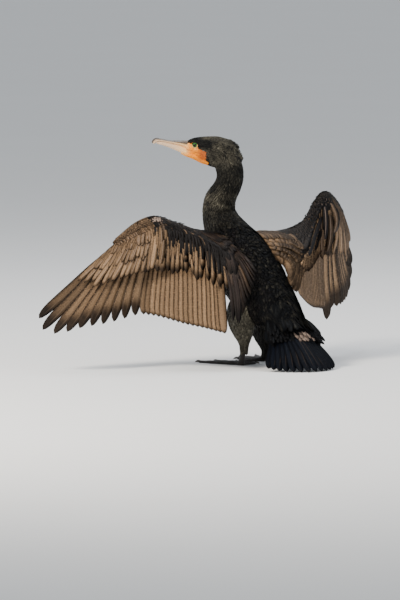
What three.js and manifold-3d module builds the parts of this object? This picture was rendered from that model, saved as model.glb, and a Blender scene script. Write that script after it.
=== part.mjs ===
// A great cormorant standing with its wings held out to dry, life size, in millimetres.
// The bird faces +Y, its right side is +X, and +Z is up. The floor is Z = 0.
import * as THREE from "three";
import { mergeVertices } from "three/addons/utils/BufferGeometryUtils.js";
import Module from "manifold-3d";

const wasm = await Module();
wasm.setup();

// Driving dimensions
const GAP = 0.3; // clearance between two nodes that touch
const BODY_WIDTH = 126; // widest across the flanks
const BODY_DEPTH = 124; // back to belly
const NECK_WIDTH = 54; // thin part of the neck, feathers included
const HEAD_LENGTH = 106; // back of the head to the bill's feathering
const BILL_LENGTH = 65; // feathering to the hooked tip
const EYE_RADIUS = 5.6;
const TOE_LENGTHS = [36, 58, 84, 96]; // hind, inner, middle and outer toe
const TOE_ANGLES = [-82, -24, 2, 24]; // degrees outwards from straight ahead
const FEET = { left: [-48, 0], right: [40, 58] }; // where each foot stands, the right one forward
const ANKLES = { left: 52, right: 33 }; // height of each ankle
const TAIL_LENGTH = 152; // middle feather from its root
const TAIL_FEATHERS = 14;
const TAIL_SPREAD = 38; // degrees each side of its middle
const TAIL_TURN = -8; // degrees that the tail swings to the bird's left
const PRIMARIES = 10;
const SECONDARIES = 15;
const VANE_THICKNESS = 0.8;
const HEAD_HEADING = 58; // degrees that the head is turned to the left
const HEAD_CENTRE = [-16.5, 134, 411];

const LEFT = -1;
const RIGHT = 1;
const COLOURS = {
  plumage: [0x17181a, 0.6],
  mottled: [0x2b2720, 0.75],
  flight: [0x6f5a44, 0.6],
  tail: [0x15181d, 0.55],
  bill: [0xd9c3a4, 0.4],
  skin: [0xe08a2c, 0.5],
  eye: [0x3f7a55, 0.1],
  leg: [0x1b1815, 0.5],
};

const vec = (p) => new THREE.Vector3(...p);
const degrees = THREE.MathUtils.degToRad;
const smooth = (points) => new THREE.CatmullRomCurve3(points.map(vec), false, "centripetal");

// Solids

function solidOf(geometry) {
  const bare = new THREE.BufferGeometry();
  bare.setAttribute("position", geometry.getAttribute("position"));
  bare.setIndex(geometry.index);
  const merged = mergeVertices(bare, 1e-4);
  return new wasm.Manifold(
    new wasm.Mesh({
      numProp: 3,
      vertProperties: merged.attributes.position.array,
      triVerts: new Uint32Array(merged.index.array),
    }),
  );
}

function geometryOf(solid) {
  const mesh = solid.getMesh();
  const geometry = new THREE.BufferGeometry();
  const position = new THREE.BufferAttribute(new Float32Array(mesh.vertProperties), 3);
  geometry.setAttribute("position", position);
  geometry.setIndex(new THREE.BufferAttribute(new Uint32Array(mesh.triVerts), 1));
  geometry.computeVertexNormals();
  return geometry;
}

// The largest closed surface of a solid, so that no scrap of a cut stays.
function largest(solid) {
  const pieces = solid.decompose();
  return pieces.reduce((best, piece) => (piece.volume() > best.volume() ? piece : best));
}

const join = (solids) => wasm.Manifold.union(solids);

// Closes a row of rings into one skin. mirrored(k) turns the diagonal of side k round, so that a
// thin vane has the same triangles on both faces.
function skinRings(rings, mirrored = () => false) {
  const around = rings[0].length;
  const points = rings.flat();
  const faces = [];
  for (let i = 0; i < rings.length - 1; i++) {
    for (let k = 0; k < around; k++) {
      const a = i * around + k;
      const b = i * around + ((k + 1) % around);
      const c = a + around;
      const d = b + around;
      if (mirrored(k)) faces.push(a, b, c, b, d, c);
      else faces.push(a, b, d, a, d, c);
    }
  }
  const last = (rings.length - 1) * around;
  for (let k = 1; k < around - 1; k++) {
    faces.push(k, 0, k + 1);
    faces.push(last, last + k, last + k + 1);
  }
  const geometry = new THREE.BufferGeometry().setFromPoints(points);
  geometry.setIndex(faces);
  const made = solidOf(geometry);
  if (made.volume() > 0) return made;
  const turned = [];
  for (let i = 0; i < faces.length; i += 3) turned.push(faces[i], faces[i + 2], faces[i + 1]);
  geometry.setIndex(turned);
  return solidOf(geometry);
}

// A body of elliptical sections along a smooth line of stations {at, wide, deep}, both half sizes.
// across is the direction of the width.
function loft(stations, { around = 20, steps = 24, across = [1, 0, 0], grow = 0 } = {}) {
  const line = smooth(stations.map((s) => s.at));
  const wide = smooth(stations.map((s, i) => [i, s.wide, s.deep]));
  const rings = [];
  for (let i = 0; i <= steps; i++) {
    const t = i / steps;
    const along = line.getTangent(t);
    const reach = i === 0 ? -grow : i === steps ? grow : 0;
    const centre = line.getPoint(t).addScaledVector(along, reach);
    const size = wide.getPoint(t);
    const side = vec(across).addScaledVector(along, -vec(across).dot(along)).normalize();
    const up = new THREE.Vector3().crossVectors(along, side);
    const ring = [];
    for (let k = 0; k < around; k++) {
      const turn = (2 * Math.PI * k) / around;
      ring.push(
        centre
          .clone()
          .addScaledVector(side, Math.cos(turn) * (size.y + grow))
          .addScaledVector(up, Math.sin(turn) * (size.z + grow)),
      );
    }
    rings.push(ring);
  }
  return skinRings(rings);
}

// A feather: a thin, slightly roofed vane from root to tip. lift is the direction of its upper face,
// bow how far its middle rises, and tilt how far its inner edge lies under the next feather.
const VANE_STATIONS = [
  [0, 0.34],
  [0.24, 0.92],
  [0.84, 0.94],
  [1, 0.3],
];
const COVERT_STATIONS = [
  [0, 0.5],
  [0.8, 1],
  [1, 0.4],
];

function vane(root, tip, lift, width, { bow = 0, tilt = 0, sweep = 0, stations = VANE_STATIONS } = {}) {
  const along = tip.clone().sub(root);
  const side = new THREE.Vector3().crossVectors(along, lift).normalize();
  const up = new THREE.Vector3().crossVectors(side, along).normalize();
  const across = side.clone().multiplyScalar(Math.cos(tilt)).addScaledVector(up, Math.sin(tilt));
  const face = new THREE.Vector3().crossVectors(across, along).normalize();
  const rings = stations.map(([t, share]) => {
    const hump = 4 * t * (1 - t);
    const centre = root
      .clone()
      .addScaledVector(along, t)
      .addScaledVector(up, bow * hump)
      .addScaledVector(side, sweep * hump);
    const half = (width / 2) * share;
    const corner = (x, z) => centre.clone().addScaledVector(across, x).addScaledVector(face, z);
    const edge = VANE_THICKNESS / 2;
    return [corner(-half, edge), corner(half, edge), corner(half, -edge), corner(-half, -edge)];
  });
  return skinRings(rings, (k) => k === 2);
}

// A row of count feathers. place(share, index) gives the root, tip, lift and width of each.
function vaneRow(count, place, options = {}) {
  const row = [];
  for (let i = 0; i < count; i++) {
    const spot = place(count === 1 ? 0.5 : i / (count - 1), i);
    row.push(vane(spot.root, spot.tip, spot.lift, spot.width, { ...options, ...spot.options }));
  }
  return row;
}

// Trunk: one line of sections from the tail's root to the top of the neck

const TRUNK = [
  { at: [0, -116, 80], wide: 34, deep: 8 },
  { at: [0, -96, 90], wide: 40, deep: 19 },
  { at: [0, -62, 102], wide: 52, deep: 38 },
  { at: [0, -15, 128], wide: BODY_WIDTH / 2 - 3, deep: 54 },
  { at: [0, 40, 172], wide: BODY_WIDTH / 2, deep: BODY_DEPTH / 2 },
  { at: [0, 90, 213], wide: BODY_WIDTH / 2 - 4, deep: BODY_DEPTH / 2 - 5 },
  { at: [0, 122, 242], wide: 47, deep: 46 },
  { at: [-2, 143, 268], wide: 37, deep: 38 },
  { at: [-3, 152, 290], wide: 33, deep: 34 },
  { at: [-3, 147, 311], wide: 31, deep: 33 },
  { at: [-1, 134, 329], wide: NECK_WIDTH / 2, deep: 28.5 },
  { at: [3, 124, 348], wide: NECK_WIDTH / 2, deep: 26.5 },
  { at: [3, 120, 368], wide: NECK_WIDTH / 2, deep: 27.5 },
  { at: [-3, 122, 388], wide: NECK_WIDTH / 2 - 1, deep: 27.5 },
  { at: [-9, 127.5, 405], wide: 22, deep: 23 },
];
const trunkLoft = (grow = 0) => loft(TRUNK, { around: 18, steps: 27, grow });

// Head frame: ahead along the bill, side to the bird's right, up

const turn = degrees(HEAD_HEADING);
const ahead = vec([-Math.sin(turn), Math.cos(turn), 0]);
const aside = vec([Math.cos(turn), Math.sin(turn), 0]);
const upward = vec([0, 0, 1]);
const onHead = (x, y, z) =>
  vec(HEAD_CENTRE).addScaledVector(ahead, x).addScaledVector(aside, y).addScaledVector(upward, z);

// Sections of the head and bill along ahead: {x, top, bottom, wide}
function headLoft(sections, options = {}) {
  const stations = sections.map((s) => ({
    at: onHead(s.x, 0, (s.top + s.bottom) / 2).toArray(),
    wide: s.wide,
    deep: (s.top - s.bottom) / 2,
  }));
  return loft(stations, { across: aside.toArray(), ...options });
}

const BILL_ROOT = HEAD_LENGTH - 44; // from the head's centre to the feathering
const BILL_TIP = BILL_ROOT + BILL_LENGTH;
const SKULL = [
  { x: -44, top: 0, bottom: -18, wide: 9 },
  { x: -37, top: 7.5, bottom: -32, wide: 20 },
  { x: -20, top: 21, bottom: -38, wide: 24 },
  { x: 4, top: 28, bottom: -34, wide: 23.5 },
  { x: 24, top: 28.5, bottom: -25.5, wide: 20.5 },
  { x: 42, top: 26.5, bottom: -17, wide: 17 },
  { x: 54, top: 22.5, bottom: -12.5, wide: 13.5 },
  { x: BILL_ROOT, top: 19, bottom: -8.5, wide: 10.5 },
];
const UPPER_BILL = [
  { x: BILL_ROOT - 8, top: 19.5, bottom: 2, wide: 9.5 },
  { x: BILL_ROOT + 12, top: 18.9, bottom: 9.4, wide: 7.2 },
  { x: BILL_ROOT + 34, top: 20, bottom: 14.2, wide: 5.6 },
  { x: BILL_ROOT + 50, top: 23, bottom: 16.8, wide: 4.8 },
  { x: BILL_TIP - 6, top: 24, bottom: 15.5, wide: 4 },
  { x: BILL_TIP - 1.5, top: 20.5, bottom: 12.5, wide: 2.4 },
  { x: BILL_TIP, top: 16, bottom: 11, wide: 1 },
];
const LOWER_BILL = [
  { x: BILL_ROOT - 12, top: 0.5, bottom: -13.5, wide: 9.4 },
  { x: BILL_ROOT + 10, top: 9.6, bottom: -4.6, wide: 7.6 },
  { x: BILL_ROOT + 32, top: 15, bottom: 4.6, wide: 5.6 },
  { x: BILL_ROOT + 48, top: 17.6, bottom: 10, wide: 4.4 },
  { x: BILL_TIP - 7, top: 16.4, bottom: 12.6, wide: 2.4 },
];
const GULAR = [
  { x: 18, top: -18, bottom: -29.5, wide: 13 },
  { x: 30, top: -13, bottom: -26, wide: 14.5 },
  { x: 46, top: -4, bottom: -18, wide: 12.5 },
  { x: BILL_ROOT, top: -1, bottom: -12, wide: 9 },
  { x: BILL_ROOT + 10, top: -1, bottom: -7, wide: 5.5 },
];
const EYE_PLACE = { x: 44.6, y: 12.9, z: 11 };
const LID_RADIUS = EYE_RADIUS + 0.9;

function eyeBall(side, radius) {
  const ball = new THREE.SphereGeometry(radius, 14, 9);
  ball.translate(...onHead(EYE_PLACE.x, side * EYE_PLACE.y, EYE_PLACE.z).toArray());
  return solidOf(ball);
}

// The lid is a low ring round the eye, facing out sideways.
function eyeLid(side) {
  const ring = new THREE.TorusGeometry(LID_RADIUS, 1.3, 5, 12);
  ring.lookAt(aside.clone().multiplyScalar(side));
  const rise = EYE_PLACE.y + EYE_RADIUS * 0.42;
  ring.translate(...onHead(EYE_PLACE.x, side * rise, EYE_PLACE.z).toArray());
  return solidOf(ring);
}

// Crest: short flat tufts at the back of the head
function crest() {
  return vaneRow(
    3,
    (share) => {
      const root = onHead(-24 - 12 * share, 0, 12 - 13 * share);
      const tip = onHead(-44 - 4 * share, 0, 5 - 14 * share);
      return { root, tip, lift: upward, width: 13 - 3 * share };
    },
    { stations: COVERT_STATIONS },
  );
}

// Wings. Each chord of the fleshy arm is {front, back, half}: its leading and trailing edge and
// half thickness, from inside the shoulder out to the end of the hand.

const WINGS = {
  left: {
    side: LEFT,
    chords: [
      { front: [-28, 118, 242], back: [-30, 52, 214], half: 15 },
      { front: [-62, 116, 252], back: [-74, 0, 216], half: 13 },
      { front: [-104, 108, 263], back: [-98, -34, 212], half: 10 },
      { front: [-160, 90, 279], back: [-152, 18, 246], half: 9 },
      { front: [-214, 68, 293], back: [-204, 50, 262], half: 8 },
      { front: [-246, 72, 282], back: [-236, 56, 254], half: 6 },
      { front: [-290, 74, 252], back: [-284, 66, 236], half: 3.5 },
    ],
    primaryTips: [
      [-284, 22, 104], [-339, 20, 93], [-398, 24, 86], [-440, 44, 75], [-459, 62, 80], [-461, 80, 110],
    ],
    secondaryTips: [
      [-146, -104, 72], [-166, -63, 80], [-191, -30, 87], [-230, 10, 101], [-262, 24, 107],
    ],
    scapularTips: [
      [-30, -18, 205], [-40, -42, 190], [-56, -62, 165], [-84, -78, 128], [-108, -92, 95], [-128, -98, 90],
    ],
    lift: [-0.2, -0.72, 0.66],
    handTilt: 0.1,
  },
  right: {
    side: RIGHT,
    chords: [
      { front: [28, 118, 242], back: [30, 52, 214], half: 15 },
      { front: [62, 112, 248], back: [74, 0, 214], half: 13 },
      { front: [98, 100, 250], back: [88, -30, 207], half: 10 },
      { front: [146, 86, 266], back: [137, 14, 243], half: 9 },
      { front: [186, 74, 326], back: [184, 52, 296], half: 8 },
      { front: [226, 91, 311], back: [216, 78, 284], half: 6 },
      { front: [260, 116, 286], back: [252, 110, 270], half: 3.5 },
    ],
    primaryTips: [
      [210, 94, 67], [226, 104, 91], [255, 119, 95], [292, 157, 99], [324, 193, 107], [342, 211, 128],
      [337, 201, 172],
    ],
    secondaryTips: [
      [50, -60, 136], [88, -28, 116], [132, 16, 103], [163, 46, 98], [185, 74, 99],
    ],
    scapularTips: [
      [34, 2, 205], [42, -20, 196], [47, -36, 184], [44, -52, 170], [43, -58, 155], [46, -60, 142],
    ],
    lift: [0.35, -0.78, 0.52],
    handTilt: 0.24,
  },
};

const FOREARM_START = 2; // index of the chord at the elbow
const HAND_START = 4; // index of the chord at the wrist

// Leading edge, trailing edge and half thickness at share 0 to 1 between two chords
function armSpan(wing, from, to) {
  const last = wing.chords.length - 1;
  const front = smooth(wing.chords.map((c) => c.front));
  const back = smooth(wing.chords.map((c) => c.back));
  const half = smooth(wing.chords.map((c, i) => [i, c.half, 0]));
  const whole = (share) => (from + (to - from) * share) / last;
  return (share) => ({
    front: front.getPoint(whole(share)),
    back: back.getPoint(whole(share)),
    half: half.getPoint(whole(share)).y,
  });
}

// The upper face's direction at a chord: square to the chord and to the run of the arm.
function liftAt(span, share, wing) {
  const a = span(Math.max(0, share - 0.05));
  const b = span(Math.min(1, share + 0.05));
  const run = b.back.clone().add(b.front).sub(a.back).sub(a.front);
  const here = span(share);
  const lift = new THREE.Vector3().crossVectors(here.front.clone().sub(here.back), run).normalize();
  return lift.dot(vec(wing.lift)) < 0 ? lift.negate() : lift;
}

// The fleshy arm from the shoulder to the end of the hand
function armCore(wing) {
  const last = wing.chords.length - 1;
  const span = armSpan(wing, 0, last);
  const steps = 3 * last;
  const around = 10;
  const rings = [];
  for (let i = 0; i <= steps; i++) {
    const share = i / steps;
    const { front, back, half } = span(share);
    const lift = liftAt(span, share, wing);
    const middle = front.clone().add(back).multiplyScalar(0.5);
    const reach = front.clone().sub(back).multiplyScalar(0.5);
    const ring = [];
    for (let k = 0; k < around; k++) {
      const angle = (2 * Math.PI * k) / around;
      const point = middle.clone().addScaledVector(reach, Math.cos(angle));
      ring.push(point.addScaledVector(lift, Math.sin(angle) * half));
    }
    rings.push(ring);
  }
  return skinRings(rings);
}

// The flat joint at the elbow or wrist: it passes through the arm and between the feathers of the
// two nodes, along second, which is a direction in it. Its normal points out towards the hand.
function jointPlane(wing, index, second, tipBefore, tipAfter) {
  const { front, back } = wing.chords[index];
  const at = vec(front).add(vec(back)).multiplyScalar(0.5);
  const down = vec(tipBefore).add(vec(tipAfter)).multiplyScalar(0.5).sub(at);
  const normal = new THREE.Vector3().crossVectors(second, down).normalize();
  const outer = vec(wing.chords[wing.chords.length - 1].front).sub(at);
  if (normal.dot(outer) < 0) normal.negate();
  return { normal, offset: normal.dot(at) };
}

const outerSide = (solid, joint) =>
  solid.trimByPlane(joint.normal.toArray(), joint.offset + GAP / 2);
const innerSide = (solid, joint) =>
  solid.trimByPlane(joint.normal.clone().negate().toArray(), GAP / 2 - joint.offset);

const between = (a, b, share) => a.clone().lerp(b, share);

// The long feathers that grow from the arm's trailing edge, and the rows of coverts over them.
// reach is how far down the long feathers a row's tips lie, and seat where on the chord it grows.
function featherTiers(wing, from, to, tipLine, count, tiers) {
  const span = armSpan(wing, from, to);
  const tips = smooth(tipLine);
  const edge = tiers.inset ?? 0.04;
  const along = (share) => edge + share * (1 - 2 * edge);
  const spacing = (share) => {
    const step = 1 / (count - 1);
    const a = tips.getPointAt(Math.min(1, share + step / 2));
    const b = tips.getPointAt(Math.max(0, share - step / 2));
    const here = span(along(share)).back.clone().sub(tips.getPointAt(share)).normalize();
    const gap = a.sub(b);
    return gap.addScaledVector(here, -gap.dot(here)).length();
  };
  const long = vaneRow(count, (share) => {
    const { front, back } = span(along(share));
    const lift = liftAt(span, along(share), wing);
    const tip = tips.getPointAt(share);
    const root = between(back, front, 0.22);
    const width = Math.max(tiers.width, spacing(share) * 1.75);
    const tilt = -wing.side * tiers.tilt;
    return { root, tip, lift, width, options: { bow: tiers.bow, tilt } };
  });
  const rows = tiers.rows.map((row) =>
    vaneRow(
      row.count,
      (share) => {
        const at = along(share);
        const { front, back, half } = span(at);
        const lift = liftAt(span, at, wing);
        const tip = between(between(back, front, 0.2), tips.getPointAt(share), row.reach);
        tip.addScaledVector(lift, row.rise + tiers.bow * 4 * row.reach * (1 - row.reach));
        const seat = between(back, front, row.seat);
        const thick = half * Math.sqrt(1 - (2 * row.seat - 1) ** 2);
        seat.addScaledVector(lift, thick - row.sink);
        const tilt = -wing.side * tiers.tilt;
        return { root: seat, tip, lift, width: row.width(share), options: { bow: row.bow, tilt } };
      },
      { stations: COVERT_STATIONS },
    ),
  );
  return [...long, ...rows.flat()];
}

function forearm(wing) {
  const rows = [
    { count: 8, reach: 0.46, seat: 0.3, rise: 2.6, sink: 2, bow: 1.5, width: () => 24 },
    { count: 7, reach: 0.16, seat: 0.6, rise: 5.4, sink: 2, bow: 1.5, width: () => 25 },
  ];
  const tiers = { bow: 7, tilt: 0.1, width: 13, rows };
  return featherTiers(wing, FOREARM_START, HAND_START, wing.secondaryTips, SECONDARIES, tiers);
}

function hand(wing) {
  const last = wing.chords.length - 1;
  const rows = [{ count: 6, reach: 0.36, seat: 0.5, rise: 3, sink: 1.5, bow: 1.5, width: () => 25 }];
  const tiers = { bow: 9, tilt: wing.handTilt, width: 17, inset: 0.06, rows };
  const feathers = featherTiers(wing, HAND_START, last, wing.primaryTips, PRIMARIES, tiers);
  const span = armSpan(wing, HAND_START, last);
  const alula = vaneRow(2, (share) => {
    const { front, back } = span(0.12 + 0.2 * share);
    const lift = liftAt(span, 0.2, wing);
    const run = span(1).front.clone().sub(span(0).front).normalize();
    const root = between(front, back, 0.3).addScaledVector(lift, 1);
    const tip = root.clone().addScaledVector(run, 62 - 12 * share);
    tip.addScaledVector(front.clone().sub(back).normalize(), -14 * share + 5);
    tip.addScaledVector(lift, 7);
    return { root, tip, lift, width: 13, options: { bow: 2 } };
  });
  return [...feathers, ...alula];
}

// The upper arm carries the scapulars and tertials, which lie over the back.
function upperArm(wing) {
  const span = armSpan(wing, 0, FOREARM_START);
  const tips = smooth(wing.scapularTips);
  const row = (count, reach, seat, rise, width) =>
    vaneRow(count, (share) => {
      const at = 0.3 + 0.66 * share;
      const { front, back, half } = span(at);
      const lift = liftAt(span, at, wing);
      const thick = half * Math.sqrt(1 - (2 * seat - 1) ** 2);
      const root = between(back, front, seat).addScaledVector(lift, thick - 4);
      const tip = between(back, tips.getPointAt(share), reach).addScaledVector(lift, rise);
      return { root, tip, lift, width, options: { bow: 3, tilt: -wing.side * 0.12 } };
    });
  return [...row(6, 1, 0.2, 0, 27), ...row(5, 0.45, 0.5, 5, 29)];
}

// Tail: stiff feathers in a shallow roof, their tips on the floor

function tailFan() {
  const base = TRUNK[0].at;
  return vaneRow(TAIL_FEATHERS, (share) => {
    const angle = degrees(TAIL_TURN + TAIL_SPREAD * (2 * share - 1));
    const off = Math.abs(2 * share - 1);
    const root = vec([base[0] + 26 * Math.sin(angle), base[1] + 22, base[2] + 7 - 5 * off]);
    const length = TAIL_LENGTH * (1 - 0.22 * off ** 1.5);
    const drop = root.z - (0.2 + 5 * off ** 3);
    const reach = Math.sqrt(length ** 2 - drop ** 2);
    const tip = root.clone().add(vec([reach * Math.sin(angle), -reach * Math.cos(angle), -drop]));
    const lift = vec([0, -0.55, 0.83]);
    return { root, tip, lift, width: 21, options: { bow: 5, tilt: 0.085 * Math.sign(share - 0.5) } };
  });
}

function tailCoverts() {
  return vaneRow(
    5,
    (share) => {
      const angle = degrees(TAIL_TURN / 2 + 26 * (2 * share - 1));
      const off = Math.abs(2 * share - 1);
      const root = vec([44 * Math.sin(angle), -98, 100 - 10 * off]);
      const tip = root.clone().add(vec([46 * Math.sin(angle), -46 * Math.cos(angle), -34]));
      return { root, tip, lift: vec([0, -0.5, 0.86]), width: 22, options: { bow: 2 } };
    },
    { stations: COVERT_STATIONS },
  );
}

// Legs

const ANKLE_SETBACK = 12;
const FOOT_TOP = 9; // flat on which the shank stands
const sideOf = { left: LEFT, right: RIGHT };

function thighLoft(name, grow = 0) {
  const [x, y] = FEET[name];
  const side = sideOf[name];
  const ankle = ANKLES[name];
  const stations = [
    { at: [side * 30, y + 2, 136], wide: 22, deep: 34 },
    { at: [x, y - 2, ankle + 54], wide: 26, deep: 37 },
    { at: [x, y - 7, ankle + 28], wide: 25, deep: 34 },
    { at: [x, y - 10, ankle + 9], wide: 19, deep: 25 },
    { at: [x, y - 12, ankle - 5], wide: 12, deep: 15 },
    { at: [x, y - ANKLE_SETBACK, ankle - 16], wide: 7.5, deep: 9.5 },
  ];
  return loft(stations, { around: 14, steps: 11, grow });
}

function tarsusLoft(name) {
  const [x, y] = FEET[name];
  const stations = [
    { at: [x, y - ANKLE_SETBACK + 0.5, ANKLES[name] - 12], wide: 5.4, deep: 8 },
    { at: [x, y - 7, 22], wide: 4.6, deep: 6.8 },
    { at: [x, y - 2, 7], wide: 5.2, deep: 7 },
  ];
  return loft(stations, { around: 10, steps: 5 }).trimByPlane([0, 0, 1], FOOT_TOP + GAP);
}

// A toe: three soft pads in a taper, lying on the floor
function toe(name, index, from, to, radius) {
  const [x, y] = FEET[name];
  const side = sideOf[name];
  const angle = degrees(TOE_ANGLES[index]);
  const way = vec([side * Math.sin(angle), Math.cos(angle), 0]);
  const at = (share) => vec([x, y, 0]).addScaledVector(way, TOE_LENGTHS[index] * share);
  const stations = [0, 0.25, 0.5, 0.75, 1].map((s) => {
    const share = from + (to - from) * s;
    const point = at(share);
    const size = radius * (1 - 0.45 * share);
    return { at: [point.x, point.y, size * 0.72], wide: size, deep: size * 0.8 };
  });
  return loft(stations, { around: 6, steps: 3, across: [way.y, -way.x, 0] });
}

// The web is one thin sheet from toe to toe, its front edge drawn back between them.
function web(name) {
  const [x, y] = FEET[name];
  const side = sideOf[name];
  const outline = [];
  const point = (angle, length) => [
    x + side * Math.sin(degrees(angle)) * length,
    y + Math.cos(degrees(angle)) * length,
  ];
  outline.push(point(180, 5));
  TOE_ANGLES.forEach((angle, i) => {
    outline.push(point(angle, TOE_LENGTHS[i] * 0.93));
    if (i < 3) {
      const middle = (angle + TOE_ANGLES[i + 1]) / 2;
      outline.push(point(middle, (TOE_LENGTHS[i] + TOE_LENGTHS[i + 1]) * 0.5 * (i ? 0.86 : 0.62)));
    }
  });
  const shape = new THREE.Shape(outline.map((p) => new THREE.Vector2(...p)));
  const sheet = new THREE.ExtrudeGeometry(shape, { depth: 1.5, bevelEnabled: false });
  sheet.translate(0, 0, 0.4);
  return solidOf(sheet);
}

function foot(name) {
  const toes = TOE_LENGTHS.map((_, i) => toe(name, i, 0, 1, 5.8));
  const [x, y] = FEET[name];
  const ankle = new THREE.SphereGeometry(8.4, 8, 6);
  ankle.scale(0.9, 1, 0.8);
  ankle.translate(x, y, 3.2);
  return join([solidOf(ankle), ...toes, web(name)]).trimByPlane([0, 0, 1], 0).trimByPlane([0, 0, -1], -FOOT_TOP);
}

function claw(name, index) {
  const [x, y] = FEET[name];
  const side = sideOf[name];
  const angle = degrees(TOE_ANGLES[index]);
  const way = vec([side * Math.sin(angle), Math.cos(angle), 0]);
  const start = vec([x, y, 0]).addScaledVector(way, TOE_LENGTHS[index] + 2 * GAP);
  const stations = [
    [0, 3, 2.6],
    [4, 3.4, 2.2],
    [8.5, 2.2, 1.5],
    [11, 0.9, 0.7],
  ].map(([reach, z, size]) => {
    const point = start.clone().addScaledVector(way, reach);
    return { at: [point.x, point.y, z], wide: size * 0.85, deep: size };
  });
  return loft(stations, { around: 8, steps: 3, across: [way.y, -way.x, 0] }).trimByPlane([0, 0, 1], 0);
}

// Cuts across the trunk: {at, way}, from the tail's root to the head
const CUTS = [
  { at: [0, -84, 94], way: [0, 0.94, 0.34] },
  { at: [0, 136, 261], way: [0, 0.5, 0.87] },
  { at: [1, 133, 327], way: [0.05, -0.5, 0.87] },
  { at: [4, 118, 372], way: [-0.05, 0.02, 1] },
];

function cutBetween(solid, low, high) {
  let part = solid;
  if (low) {
    const way = vec(low.way).normalize();
    part = part.trimByPlane(way.toArray(), way.dot(vec(low.at)) + GAP / 2);
  }
  if (high) {
    const way = vec(high.way).normalize().negate();
    part = part.trimByPlane(way.toArray(), way.dot(vec(high.at)) + GAP / 2);
  }
  return largest(part);
}

// Assembly

const model = new THREE.Group();

function addNode(name, solid, finish) {
  const [color, roughness] = COLOURS[finish];
  const material = new THREE.MeshStandardMaterial({ color, roughness, metalness: 0 });
  const mesh = new THREE.Mesh(geometryOf(solid), material);
  mesh.name = name;
  model.add(mesh);
}

const trunk = trunkLoft();
const trunkGrown = trunkLoft(GAP * 1.4);
const bodyWhole = trunk.add(headLoft(SKULL, { around: 14, steps: 11 }));

const UPPER = { around: 10, steps: 10 };
const LOWER = { around: 10, steps: 7 };
const POUCH = { around: 12, steps: 6 };
const grown = (sections, options) => headLoft(sections, { ...options, grow: GAP * 1.2 });
const upper = headLoft(UPPER_BILL, UPPER);
const upperGrown = grown(UPPER_BILL, UPPER);
const lower = largest(headLoft(LOWER_BILL, LOWER).subtract(upperGrown));
const lowerGrown = grown(LOWER_BILL, LOWER);
const pouch = largest(headLoft(GULAR, POUCH).subtract(upperGrown).subtract(lowerGrown));

let head = join([cutBetween(bodyWhole, CUTS[3], null), eyeLid(LEFT), eyeLid(RIGHT), ...crest()]);
for (const piece of [upperGrown, lowerGrown, grown(GULAR, POUCH)]) head = head.subtract(piece);
for (const side of [LEFT, RIGHT]) head = head.subtract(eyeBall(side, EYE_RADIUS + GAP));
addNode("head", largest(head), "plumage");
addNode("bill_upper", upper, "bill");
addNode("bill_lower", lower, "bill");
addNode("gular_skin", pouch, "skin");
addNode("eye_left", eyeBall(LEFT, EYE_RADIUS), "eye");
addNode("eye_right", eyeBall(RIGHT, EYE_RADIUS), "eye");
addNode("neck_upper", cutBetween(bodyWhole, CUTS[2], CUTS[3]), "mottled");
addNode("neck_lower", cutBetween(bodyWhole, CUTS[1], CUTS[2]), "mottled");
addNode("torso", cutBetween(trunk, CUTS[0], CUTS[1]), "plumage");

const tailWay = vec(CUTS[0].way).normalize().negate();
const tail = join([trunk, ...tailFan(), ...tailCoverts()])
  .trimByPlane(tailWay.toArray(), tailWay.dot(vec(CUTS[0].at)) + GAP / 2)
  .trimByPlane([0, 0, 1], 0);
addNode("tail", largest(tail), "tail");

for (const [name, wing] of Object.entries(WINGS)) {
  const core = armCore(wing);
  const lastScapular = wing.scapularTips[wing.scapularTips.length - 1];
  const lastSecondary = wing.secondaryTips[wing.secondaryTips.length - 1];
  const { front, back } = wing.chords[FOREARM_START];
  const chord = vec(front).sub(vec(back));
  const lift = liftAt(armSpan(wing, 0, HAND_START), 1, wing);
  const elbow = jointPlane(wing, FOREARM_START, chord, lastScapular, wing.secondaryTips[0]);
  const wrist = jointPlane(wing, HAND_START, lift, lastSecondary, wing.primaryTips[0]);
  const arm = innerSide(join([core, ...upperArm(wing)]), elbow).subtract(trunkGrown);
  const fore = innerSide(outerSide(join([core, ...forearm(wing)]), elbow), wrist);
  const palm = outerSide(join([core, ...hand(wing)]), wrist);
  addNode(`wing_${name}_upper_arm`, largest(arm), "plumage");
  addNode(`wing_${name}_forearm`, largest(fore), "flight");
  addNode(`wing_${name}_hand`, largest(palm), "flight");
}

for (const name of Object.keys(FEET)) {
  const thigh = largest(thighLoft(name).subtract(trunkGrown));
  const sole = largest(foot(name));
  const shank = largest(tarsusLoft(name).subtract(thighLoft(name, GAP * 1.3)));
  addNode(`leg_${name}_thigh`, thigh, "plumage");
  addNode(`leg_${name}_tarsus`, shank, "leg");
  addNode(`leg_${name}_foot`, sole, "leg");
  ["hind", "inner", "middle", "outer"].forEach((toeName, i) => {
    addNode(`leg_${name}_claw_${toeName}`, largest(claw(name, i)), "leg");
  });
}

// The origin is the middle of the model's footprint on the floor.
const box = new THREE.Box3().setFromObject(model);
const centre = box.getCenter(new THREE.Vector3());
model.position.set(-centre.x, -centre.y, -box.min.z);

export default model;
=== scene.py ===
"""A great cormorant that stands with its wings held out to dry, at life size.

Shapes are worked out in millimetres, with the bird facing +Y, its right side at +X and the floor at
zero, then moved into the frame of the solids in metres.
"""
from functools import partial

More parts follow.
